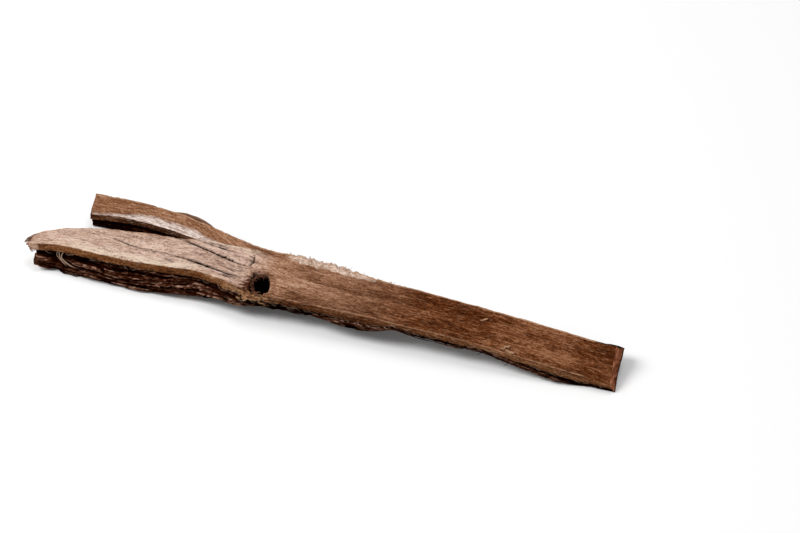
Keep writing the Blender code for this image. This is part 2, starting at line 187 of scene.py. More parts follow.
@dataclass
class Band:
    """The lines that bound one band: in plan, on its upper side and on its lower side."""

    near_edge: Line
    far_edge: Line
    top_near: Line
    top_far: Line
    bottom_near: Line
    bottom_far: Line

    def top_at(self, place: float, y: float) -> float:
        """The height of its upper side at a point, before any relief."""
        near_y, far_y = self.near_edge.at(place), self.far_edge.at(place)
        return mix(self.top_near.at(place), self.top_far.at(place), (y - near_y) / (far_y - near_y))


NEAR_BAND = Band(
    near_edge=Line((
        (-102.5, -17.2), (-98, -16.4), (-90, -15.4), (-78, -15.6), (-62, -15.2), (-50, -14.0), (-40, -12.6),
        (-30, -13.6), (-18, -16.2), (-4, -15.6), (11, -14.6), (25, -13.7), (40, -12.9), (59, -11.5), (83, -10.1),
        (102, -9.0),
    )),
    far_edge=Line((
        (-102.5, -15.0), (-100, -11.0), (-96, -8.4), (-90, -6.2), (-80, -3.4), (-66, -1.1), (-54, 0.4), (-49, 1.4),
        (-44, 2.9), (-38, 3.1), (-26, 2.9), (-10, 1.0), (10, -1.6), (102, -1.8),
    )),
    top_near=Line((
        (-102.5, 8.0), (-88, 9.4), (-66, 10.2), (-40, 10.5), (-16, 10.3), (11, 10.0), (25, 9.4), (42, 8.6),
        (59, 7.2), (74, 5.7), (83, 4.6), (94, 3.4), (102, 2.6),
    )),
    top_far=Line((
        (-102.5, 8.4), (-88, 10.0), (-66, 10.9), (-40, 11.2), (-26, 11.2), (0, 11.3), (20, 11.2), (42, 10.5),
        (60, 9.5), (83, 7.6), (102, 5.7),
    )),
    bottom_near=Line((
        (-102.5, 1.6), (-86, 0.2), (-72, -1.3), (-58, -0.2), (-42, 1.6), (-20, 3.3), (4, 4.4), (20, 5.2),
        (30, 6.2), (40, 6.2), (52, 5.2), (62, 3.9), (72, 1.9), (84, -0.4), (92, -1.6), (102, -1.8),
    )),
    bottom_far=Line((
        (-102.5, 3.2), (-86, 1.6), (-70, 0.2), (-54, 1.0), (-38, 2.8), (-20, 4.2), (4, 5.6), (26, 6.0), (46, 5.2),
        (62, 4.0), (83, 2.6), (102, 1.8),
    )),
)

FAR_BAND = Band(
    near_edge=Line((
        (-94, 7.4), (-80, 8.6), (-66, 7.6), (-54, 5.4), (-49, 4.3), (-44, 3.2), (-38, 3.4), (-26, 3.2), (-10, 1.3),
        (10, -1.3), (102, -1.5),
    )),
    far_edge=Line((
        (-94, 17.6), (-78, 17.0), (-60, 14.6), (-42, 10.0), (-26, 5.9), (-12, 4.6), (3, 4.0), (18, 2.9), (39, 3.0),
        (59, 2.6), (83, 2.7), (102, 3.0),
    )),
    top_near=Line((
        (-94, 5.7), (-80, 6.8), (-66, 7.8), (-50, 9.0), (-38, 9.7), (-26, 10.7), (0, 11.4), (20, 11.3), (42, 10.6),
        (60, 9.6), (83, 7.7), (102, 5.8),
    )),
    top_far=Line((
        (-94, 7.3), (-75, 8.9), (-60, 9.9), (-42, 10.6), (-26, 11.3), (-8, 12.2), (18, 12.1), (39, 11.7),
        (59, 11.0), (73, 10.2), (83, 9.4), (93, 8.6), (102, 8.0),
    )),
    bottom_near=Line((
        (-94, -1.3), (-87, -1.2), (-78, 0.4), (-66, 1.8), (-50, 3.2), (-38, 4.2), (-20, 5.2), (4, 5.8), (26, 6.1),
        (46, 5.3), (62, 4.1), (83, 2.7), (102, 1.9),
    )),
    bottom_far=Line((
        (-94, -1.2), (-87, -1.0), (-78, 1.2), (-60, 3.4), (-40, 4.9), (-20, 5.8), (4, 6.9), (26, 6.9), (46, 6.5),
        (62, 6.0), (83, 5.0), (102, 4.2),
    )),
)

BANDS = {Side.NEAR: NEAR_BAND, Side.FAR: FAR_BAND}


@dataclass(frozen=True)
class Crack:
    """A drying crack in the upper side: its line in plan, half its width, and its depth."""

    path: Points
    half_width: float
    depth: float
    end_reach: float = 1.5

    def depth_at(self, place: float, y: float) -> float:
        """How deep the crack cuts the upper side at a point.

        Args:
            place: Where along the strip.
            y: Where across it.

        Returns:
            The depth, 0 away from the crack.
        """
        low = min(point[0] for point in self.path) - self.end_reach
        high = max(point[0] for point in self.path) + self.end_reach
        if not low < place < high:
            return 0.0
        wander = 0.3 * wave(place, y, 3.0, 2.0, self.depth * 19)
        point = Vector((place, y + wander))
        nearest, share_there = math.inf, 0.0
        legs = len(self.path) - 1
        for leg in range(legs):
            start, end = Vector(self.path[leg]), Vector(self.path[leg + 1])
            run = end - start
            share = min(max((point - start).dot(run) / run.length_squared, 0.0), 1.0)
            distance = (point - start - run * share).length
            if distance < nearest:
                nearest, share_there = distance, (leg + share) / legs
        fullness = rounded(share_there)
        width = self.half_width * mix(0.5, 1.0, fullness) * 1.25
        return self.depth * fullness * ridge_line(nearest, width)


CRACKS = (
    Crack(((-56, 1.4), (-43, -1.3), (-35, -3.1), (-25.4, -5.0)), 0.45, 1.7),
    Crack(((-77, -6.4), (-64, -8.3), (-56, -8.2), (-47, -8.1)), 0.35, 1.3),
    Crack(((-50, -8.3), (-43, -8.8), (-36, -9.6), (-22.5, -11.0)), 0.4, 1.4),
    Crack(((-45, 1.5), (-37, 0.8), (-29, 0.5)), 0.3, 1.1),
    Crack(((-43, 2.1), (-39, 2.0), (-34, 1.6)), 0.3, 1.0),
    Crack(((-25.6, 1.6), (-24.2, -1.8), (-24.8, -5.6)), 0.3, 1.1),
)


@dataclass
class Knot:
    """The blind pit that a fallen knot has left where the near arm leaves the body."""

    centre: tuple[float, float] = (-17.2, -12.2)
    half_length: float = 3.2
    half_width: float = 4.5
    turn: float = math.radians(20.0)
    depth: float = 5.4
    far_off: float = 2.5
    wall: Rise = (0.72, 0.98)
    lip: Span = (0.9, 0.98, 1.06, 1.7)

    def radius_share(self, place: float, y: float) -> float:
        """How far out from the pit's middle a point lies, 1 being the cutter's full size.

        Args:
            place: Where along the strip.
            y: Where across it.

        Returns:
            The share.
        """
        right, back = place - self.centre[0], y - self.centre[1]
        along = (right * math.cos(self.turn) + back * math.sin(self.turn)) / self.half_length
        across = (back * math.cos(self.turn) - right * math.sin(self.turn)) / self.half_width
        radius = math.hypot(along, across)
        if radius > self.far_off or radius == 0:
            return radius
        turn = Vector((along / radius, across / radius, 0.0))
        jags = 0.34 * noise.noise(2.6 * turn + Vector((0, 0, 51.0)))
        jags += 0.16 * noise.noise(7 * turn + Vector((0, 0, 55.0)))
        squared = 1 + 0.2 * (1 - abs(abs(turn.x) - abs(turn.y)))
        return radius / (squared + jags * self.left_share(place) + 0.1 * self.left_share(place))

    def point_at(self, angle: float, reach: float) -> Vector:
        """The place and y of a point at an angle round the pit and a share of the way out."""
        out = Vector((math.cos(angle) * self.half_length, math.sin(angle) * self.half_width)) * reach
        return Vector(self.centre) + Matrix.Rotation(self.turn, 2) @ out

    def depth_at(self, place: float, y: float) -> float:
        """How deep the pit is at a point."""
        radius = self.radius_share(place, y)
        return self.depth * (1 - smooth_step(*self.wall, radius))

    def left_share(self, place: float) -> float:
        """1 on the pit's ragged left side, 0 on its smooth right side."""
        return 1 - smooth_step(-0.5, 1.2, place - self.centre[0])

    def lip_at(self, place: float, y: float) -> float:
        """How far the lip round the pit stands up: torn lumps on the left, a healed roll on the right."""
        lumps = 0.55 + 0.7 * wave(place, y, 1.1, 1.0, 52.0)
        return hump(self.radius_share(place, y), *self.lip) * mix(0.35, lumps, self.left_share(place))

    def scar_and_shade_at(self, place: float, y: float) -> float:
        """How much of the dark torn wood on the pit's left there is at a point, from 0 to 1, its darkness partly
        painted shade of the ragged cavity there.

        Args:
            place: Where along the strip.
            y: Where across it.

        Returns:
            The share.
        """
        along = (place - self.centre[0]) / (1.7 * self.half_length)
        across = (y - self.centre[1] + 0.6) / (0.95 * self.half_width)
        radius = math.hypot(along, across) + 0.5 * wave(place, y, 3.6, 0.7, 53.0)
        radius += 0.25 * wave(place, y, 0.9, 0.5, 54.0)
        return (1 - smooth_step(0.8, 1.35, radius)) * self.left_share(place)


# Which noise pattern roughens each of the four long edges: the near band's two, then the far band's two.
NEAR_EDGE = 41.0
EDGES = {Side.NEAR: (NEAR_EDGE, 43.0), Side.FAR: (45.0, 47.0)}


@dataclass
class BarkForm:
    """The strip's shape: where each point of its surface lies, and what kind of surface it is there."""

    left_tip: float = -102.5
    fork: float = -44.0
    far_arm_cut: Rise = (-90.8, -93.3)
    sawn_near: float = 99.7
    sawn_far: float = 97.9
    sawn_lean: float = 1.6
    far_lean: float = 4.0
    far_lean_along: Rise = (62, 97)
    seam_share: float = 0.62
    band_on_arm: float = 2.9
    band_on_body: float = 2.3
    band_slope: float = 0.8
    groove_below: float = 0.8
    groove: float = 1.1
    edge_reach: float = 2.6
    thick_edge: float = 5.5
    thinnest: float = 1.6
    edge_round: float = 0.45
    deep_steps: int = 6
    below_band: Rise = (2.6, 3.6)
    rim_along: Span = (-18, -8, 2, 26)
    rim_fades: Rise = (1.44, 3.6)
    rim_height: float = 0.9
    near_arm_fades: Rise = (-30, -14)
    far_arm_fades: Rise = (-44, -24)
    check_depth: float = 0.45
    check_half_width: float = 0.13
    checks_grow: Rise = (-84, -52)
    bevel_end: float = -30
    bevel_along: Span = (-82, -68, -52, -36)
    bevel_widths: Rise = (1.2, 3.7)
    cream_along: Span = (-98, -70, -46, -34)
    cream_width: Rise = (1.2, 4.0)
    seam_along: Span = (-50, -46, -30, -20)
    seam_width: Rise = (0.3, 0.9)
    shag_fades: Rise = (-38, -12)
    shag_patches: tuple[tuple[float, Span], ...] = ((0.35, (2, 12, 22, 34)), (0.5, (54, 66, 86, 96)))
    lump_along: Span = (-33, -28, -17, -10)
    lump_down: Span = (1.2, 2.2, 4.4, 5.6)
    slit_depth: float = 2.3
    torn_tip: Rise = (-99.5, -95.5)
    tongue_drop: float = 1.3
    flat_end: Rise = (82, 98)
    crisp_end: Rise = (90, 98)
    knot: Knot = field(default_factory=Knot)

    def rim_at(self, place: float, y: float) -> float:
        """How much of the crumbly rim of the far edge there is at a point, from 0 to 1."""
        inward = FAR_BAND.far_edge.at(place) - y + 0.9 * wave(place, y, 2.0, 1.5, 66.0)
        return hump(place, *self.rim_along) * (1 - smooth_step(*self.rim_fades, inward))

    def on_near_arm(self, place: float, side: Side) -> float:
        """1 on the near arm's weathered upper side, 0 on the body and the far arm."""
        return 1 - smooth_step(*self.near_arm_fades, place) if side is Side.NEAR else 0.0

    def on_far_arm(self, place: float, side: Side) -> float:
        """1 on the far arm, 0 on the body and the near arm."""
        return 1 - smooth_step(*self.far_arm_fades, place) if side is Side.FAR else 0.0

    def swells(self, place: float, y: float, on_near_arm: float) -> float:
        """The upper side's broad relief, which the part's own solid has too."""
        rim = self.rim_height * self.rim_at(place, y) * (0.75 + 0.5 * wave(place, y, 2.4, 1.6, 5.0))
        return mix(0.16, 0.34, on_near_arm) * wave(place, y, 34, 1.9, 3.1) + 0.4 * wave(place, y, 24, 9, 7.7) + rim

    def checks(self, place: float, y: float, on_near_arm: float) -> float:
        """Long fine drying checks along the grain, from 0 to 1 in their middle.

        Args:
            place: Where along the strip.
            y: Where across it.
            on_near_arm: 1 on the near arm, 0 off it.

        Returns:
            The share.
        """
        line = wave(place + 2 * wave(place, y, 9, 3, 71.0), y, 26, 1.5, 63.0)
        strength = mix(0.3, mix(0.35, 1.0, smooth_step(*self.checks_grow, place)), on_near_arm)
        strength *= smooth_step(-0.15, 0.2, wave(place, y, 12, 4, 65.0))
        return strength * ridge_line(line, self.check_half_width)

    def fine_relief(self, place: float, y: float, on_near_arm: float) -> float:
        """The upper side's fibre ridges and checks, finer than the part's solid holds.

        Args:
            place: Where along the strip.
            y: Where across it.
            on_near_arm: 1 on the near arm, 0 off it.

        Returns:
            The change of height.
        """
        fibres = 0.11 * wave(place, y, 9, 0.8, 61.0) + 0.09 * wave(place, y, 2.6, 0.9, 62.0)
        crumble = 0.9 * self.rim_at(place, y) * wave(place, y, 1.1, 0.9, 67.0)
        checks = self.check_depth * self.checks(place, y, on_near_arm)
        return mix(1.0, 1.5, on_near_arm) * fibres - checks + crumble

    def bevel_at(self, place: float, y: float, side: Side) -> float:
        """How much of the pale torn bevel on the far arm's near edge there is at a point, from 0 to 1.

        Args:
            place: Where along the strip.
            y: Where across it.
            side: Which band.

        Returns:
            The share.
        """
        if side is Side.NEAR or place > self.bevel_end:
            return 0.0
        width = mix(*self.bevel_widths, hump(place, *self.bevel_along))
        width *= 1 - smooth_step(self.fork, self.bevel_end, place)
        inward = y - FAR_BAND.near_edge.at(place) + 0.5 * wave(place, y, 6, 1.5, 69.0)
        return 1 - smooth_step(0.75 * width, width + 0.01, inward) if width > 0.1 else 0.0

    def cream_at(self, place: float, inward: float) -> float:
        """How much of the pale smooth strip beside the near arm's edge there is at a point, from 0 to 1."""
        ragged = inward + 1.2 * wave(place, inward, 8, 1.2, 96.0) + 0.5 * wave(place, inward, 2, 0.6, 97.0)
        return hump(place, *self.cream_along) * (1 - smooth_step(*self.cream_width, ragged))

    def seam_line(self, place: float, away: float) -> float:
        """How much of the thin pale line beside the seam of the two bands there is, so far away from it."""
        ragged = away + 0.35 * wave(place, 0.0, 2.4, 1.0, 99.0)
        return hump(place, *self.seam_along) * (1 - smooth_step(*self.seam_width, ragged))

    def outer_relief(self, place: float, y: float) -> float:
        """The lower side's furrows and plates, which the part's own solid has too."""
        furrows = abs(wave(place + 6 * wave(place, y, 20, 8, 11.0), y, 30, 3.4, 13.0))
        return 0.9 - 3.2 * min(furrows, 0.5) + 0.5 * wave(place, y, 7, 5, 17.0)

    def shagginess(self, place: float) -> float:
        """1 where the near edge keeps thick outer bark, and less along the body but for two patches."""
        patches = sum(strength * hump(place, *span) for strength, span in self.shag_patches)
        return 1 - 0.9 * smooth_step(*self.shag_fades, place) + patches

    def depth_of(self, step: float, thickness: float, shag: float) -> float:
        """How far below the upper side a step of an edge lies: the band, its groove, then the rest.

        Args:
            step: The step down the edge, whole or not.
            thickness: The strip's thickness there.
            shag: How shaggy the edge is.

        Returns:
            The depth below the upper side.
        """
        band = mix(self.band_on_body, self.band_on_arm, shag)
        fixed = (0.0, 0.5 * band, band, band + self.groove_below)
        squeeze = min(1.0, 0.7 * thickness / fixed[-1])
        last = len(fixed) - 1
        if step < last:
            index = int(step)
            return mix(fixed[index], fixed[index + 1], step - index) * squeeze
        return mix(fixed[-1] * squeeze, thickness, (step - last) / (self.deep_steps - last))

    def even_base(self, step: float, shag: float) -> float:
        """How far out an edge stands at a step, whole or not, before its roughness.

        Args:
            step: The step down the edge.
            shag: How shaggy the edge is.

        Returns:
            The distance out.
        """
        band = self.band_slope * shag
        lower = (mix(-0.4 - 0.9 * share, 0.8 + 1.3 * share, shag) for share in (1 / 3, 2 / 3, 1.0))
        bases = (-self.edge_round, 0.5 * band, band, band - self.groove, *lower)
        index = min(int(step), self.deep_steps - 1)
        return mix(bases[index], bases[index + 1], step - index)

    def furrow(self, place: float, step: float, layer: float) -> float:
        """The ledges and furrows of an edge's outer bark, from about -1 in a furrow to 0.6 on a ledge.

        Args:
            place: Where along the strip.
            step: The step down the edge.
            layer: The edge's own noise pattern.

        Returns:
            The distance out.
        """
        bent = step + 0.45 * wave(place, step, 9, 1.5, layer + 9)
        slot = ridge_line(wave(place, bent, 30, 0.85, layer + 10), 0.19)
        thin_slot = ridge_line(wave(place, bent, 16, 0.5, layer + 12), 0.2)
        strings = wave(place, bent, 13, 0.36, layer + 11)
        knobs = wave(place, bent, 2.6, 0.7, layer + 13)
        return 0.7 - 1.9 * slot - 0.8 * thin_slot + 0.6 * strings + 0.25 * knobs

    def slit(self, place: float, step: float, shag: float) -> float:
        """How far the dark slit under the near arm's band is open at a point, from 0 to 1.

        Args:
            place: Where along the strip.
            step: The step down the edge.
            shag: How shaggy the edge is.

        Returns:
            The share.
        """
        open_here = 0.5 + 0.5 * smooth_step(-0.25, 0.1, wave(place, 0.0, 15, 1.0, 48.0))
        deep = hump(step, 1.95, 2.35, 3.0 + 0.5 * wave(place, 1.0, 9, 1.0, 49.0), 4.0)
        return open_here * deep * smooth_step(0.45, 0.9, shag)

    def edge_offset(self, place: float, step: float, shag: float, layer: float) -> float:
        """How far out an edge's surface stands: the firm band, the groove below it, then the outer bark.

        Args:
            place: Where along the strip.
            step: The step down the edge, whole or not.
            shag: How shaggy the edge is.
            layer: The edge's own noise.

        Returns:
            The distance out from the edge's line in plan.
        """
        below = smooth_step(*self.below_band, step)
        rough = mix(0.22, mix(0.2, 0.4, shag), below) * wave(place, step * 2.3, 5.5, 1.7, layer)
        stringy = below * mix(0.2, 1.1, shag) * wave(place, step * 2.9, 19.0, 1.3, layer + 0.5)
        chips = 0.22 * wave(place, step, 1.5, 0.6, layer + 3) * (1 - below)
        lump = 0.7 + 2.4 * wave(place, step, 3.0, 1.3, layer + 4) + 1.2 * wave(place, step, 1.1, 0.5, layer + 5)
        lump *= hump(place, *self.lump_along) * hump(step, *self.lump_down)
        furrow = below * mix(0.35, 1.15, shag) * self.furrow(place, step, layer)
        slit = self.slit_depth * self.slit(place, step, shag)
        return self.even_base(step, shag) + rough + stringy + chips + lump + furrow - slit

    def torn_end(self, y: float, step: float) -> float:
        """Where the near arm ends: an overhanging torn tongue, with the outer bark broken off short below it.

        Args:
            y: Where across the strip.
            step: The step down the edge.

        Returns:
            The place along the strip.
        """
        slant = 2.0 * (1 - smooth_step(-17.4, -15.0, y))
        shreds = 1.8 * abs(wave(y, step, 0.6, 0.4, 32.0)) + 3.2 * max(wave(y, step, 1.6, 0.5, 30.0) - 0.12, 0.0)
        ragged = (1.8 * abs(wave(y, step, 0.9, 1.4, 31.0)) + shreds) * smooth_step(-17.6, -15.4, y)
        tongue = self.left_tip + slant + ragged + 0.3 * step
        splinters = 2.4 * abs(wave(y, step, 2.2, 1.4, 33.0)) + 1.6 * abs(wave(y, step, 0.8, 0.5, 34.0))
        return mix(tongue, self.left_tip + 4.0 + splinters, smooth_step(2.2, 2.9, step))

    def torn_at(self, place: float, y: float, step: float) -> float:
        """How much of the tongue's brown torn tip there is at a point, from 0 to 1."""
        ragged = 3.0 * wave(place, y, 2.2, 1.4, 84.0) + 1.5 * wave(place, y, 0.9, 0.7, 85.0)
        return 1 - smooth_step(*self.torn_tip, place + ragged - 0.5 * step)

    def sawn_end(self, across_strip: float, step: float) -> float:
        """Where the right end is sawn off: nearly square, leaning out a little below.

        Args:
            across_strip: The share of the strip's width.
            step: The step down the edge.

        Returns:
            The place along the strip.
        """
        lean = self.sawn_lean * step / self.deep_steps
        marks = 0.12 * abs(wave(8 * across_strip, step, 1.1, 1.3, 35.0))
        marks += 0.1 * abs(wave(across_strip, step, 0.05, 0.3, 36.0))
        return mix(self.sawn_near, self.sawn_far, across_strip) + lean - marks

    def place_of(self, share: float, side: Side, across: float, step: float, fork_share: float) -> float:
        """The place along the strip of one share of the sheet's length.

        Args:
            share: The share of the sheet's length.
            side: Which band.
            across: The share of the band's width.
            step: How many steps down the edge.
            fork_share: The share of the sheet's length at which the fork ends.

        Returns:
            The place along the strip.
        """
        if share < fork_share:
            if side is Side.NEAR:
                end = self.torn_end(mix(-17.2, -11.0, across), step)
            else:
                end = mix(*self.far_arm_cut, across) + 0.2 * wave(5 * across, step, 1.4, 1.4, 37.0)
            return mix(end, self.fork, share / fork_share)
        across_strip = self.seam_share * across if side is Side.NEAR else mix(self.seam_share, 1.0, across)
        return mix(self.fork, self.sawn_end(across_strip, step), (share - fork_share) / (1 - fork_share))

    def upper_height(self, place: float, y: float, side: Side) -> float:
        """The height of the upper side at a point, without its finest relief."""
        return BANDS[side].top_at(place, y) + self.swells(place, y, self.on_near_arm(place, side))

    def outer_roughness(self, place: float, y: float) -> float:
        """The lower side's fine relief, finer than the part's solid holds."""
        return 0.3 * wave(place, y, 2.2, 0.9, 81.0) - 0.5 * ridge_line(wave(place, y, 16, 1.4, 82.0), 0.12)

    def lower_height(self, place: float, y: float, across: float, side: Side, upper: float) -> float:
        """The height of the lower side at a point.

        Args:
            place: Where along the strip.
            y: Where across it.
            across: The share of the band's width.
            side: Which band.
            upper: The height of the upper side there.

        Returns:
            The height, which leaves the bark its least thickness.
        """
        band = BANDS[side]
        flat = smooth_step(*self.flat_end, place)
        relief = (self.outer_relief(place, y) + self.outer_roughness(place, y)) * (1 - 0.6 * flat)
        lower = mix(band.bottom_near.at(place), band.bottom_far.at(place), across) + relief
        return max(min(lower + flat * smooth_step(-1, 3, y), upper - self.thinnest), 0.0)

    def dressing(self, place: float, y: float, side: Side, crack: float) -> float:
        """How far the finest relief moves the upper side up or down at a point.

        Args:
            place: Where along the strip.
            y: Where across it.
            side: Which band.
            crack: How deep a drying crack is there.

        Returns:
            The change of height.
        """
        band = BANDS[side]
        inward, rest = y - band.near_edge.at(place), band.far_edge.at(place) - y
        ease = smooth_step(0.0, 0.9, min(inward + 0.3, rest + 0.3))
        change = self.fine_relief(place, y, self.on_near_arm(place, side)) * mix(0.4, 1.0, ease)
        change += self.knot.lip_at(place, y) - crack - self.knot.depth_at(place, y)
        if side is Side.NEAR:
            from_tip = place - self.left_tip + 1.5 * wave(place, y, 3, 1.2, 86.0)
            change -= self.tongue_drop * (1 - smooth_step(0.0, 4.5, from_tip))
        cut = max(1.5 - 0.3 * inward, 0.1) * (0.8 + 0.5 * wave(place, y, 8, 0.8, 83.0))
        return change - self.bevel_at(place, y, side) * cut

    def near_flank(self, place: float, step: float, even: bool = False) -> Vector:
        """The point of the near edge's surface at a place along the strip and a step down its edge.

        Args:
            place: The place along the strip.
            step: The step down the edge.
            even: Whether the surface's own roughness is left out.

        Returns:
            The point.
        """
        y = NEAR_BAND.near_edge.at(place)
        upper = self.upper_height(place, y, Side.NEAR)
        lower = max(min(NEAR_BAND.bottom_near.at(place) + self.outer_relief(place, y), upper - self.thinnest), 0.0)
        shag = self.shagginess(place)
        slim = min(1.0, (upper - lower) / self.thick_edge)
        offset = 0.5 + self.even_base(step, shag) if even else self.edge_offset(place, step, shag, NEAR_EDGE)
        return Vector((place, y - slim * offset, upper - self.depth_of(step, upper - lower, shag)))


class Mark(Enum):
    """What the strip's mesh tells its material about each point, each as an attribute from 0 to 1."""

    FLANK = "flank"
    WEATHERED = "weathered"
    FAR_ARM = "far_arm"
    RIM = "rim"
    BEVEL = "bevel"
    # Painted shade: cracks, the knot pit, drying checks and the slit under the band are painted near black.
    HOLLOW = "hollow"
    SAWN = "sawn"
    # Painted shade and highlight: the outer bark is painted darker in its furrows and lighter on its ledges.
    RIDGE = "ridge"
    EDGE = "edge"
    # The dark torn wood on the knot pit's left: partly its own reddish brown, partly painted shade.
    SCAR = "scar"
    TORN = "torn"
    CREAM = "cream"


def straightened(form: BarkForm, point: Vector, side: Side) -> Vector:
    """A point as if the strip were laid out straight, so that its grain can follow the bark.

    Args:
        form: The strip's shape.
        point: The point in the bent strip.
        side: Which band it is on.

    Returns:
        The straightened point.
    """
    place, y, z = point
    parted = 1 - smooth_step(form.fork - 8, -22, place)
    middle, top = 0.0, 0.0
    for near, far, weight in ((NEAR_BAND, FAR_BAND, 1 - parted), (BANDS[side], BANDS[side], parted)):
        middle += 0.5 * weight * (near.near_edge.at(place) + far.far_edge.at(place))
        top += 0.5 * weight * (near.top_near.at(place) + far.top_far.at(place))
    return Vector((place, y - middle, z - top))


def split_upright(shape: BMesh, cuts: int) -> None:
    """Cut all upright edges of a shape one unit high, and the faces between them, into short lengths."""
    upright = [edge for edge in shape.edges if abs(edge.verts[0].co.z - edge.verts[1].co.z) > 0.5]
    bmesh.ops.subdivide_edges(shape, edges=upright, cuts=cuts, use_grid_fill=True)


@dataclass(frozen=True)
class Spot:
    """One vertex of the strip's sheet: where it lies, and how far each long edge has a hold of it."""

    side: Side
    across: float
    share: float
    place: float
    y: float
    step: float
    on_top: bool
    near_weight: float
    far_weight: float
    near_share: float
    far_share: float

    @property
    def reach(self) -> tuple[float, float]:
        """How much the near and the far edge roughen it, from 0 to 1."""
        return self.near_weight * self.near_share, self.far_weight * self.far_share


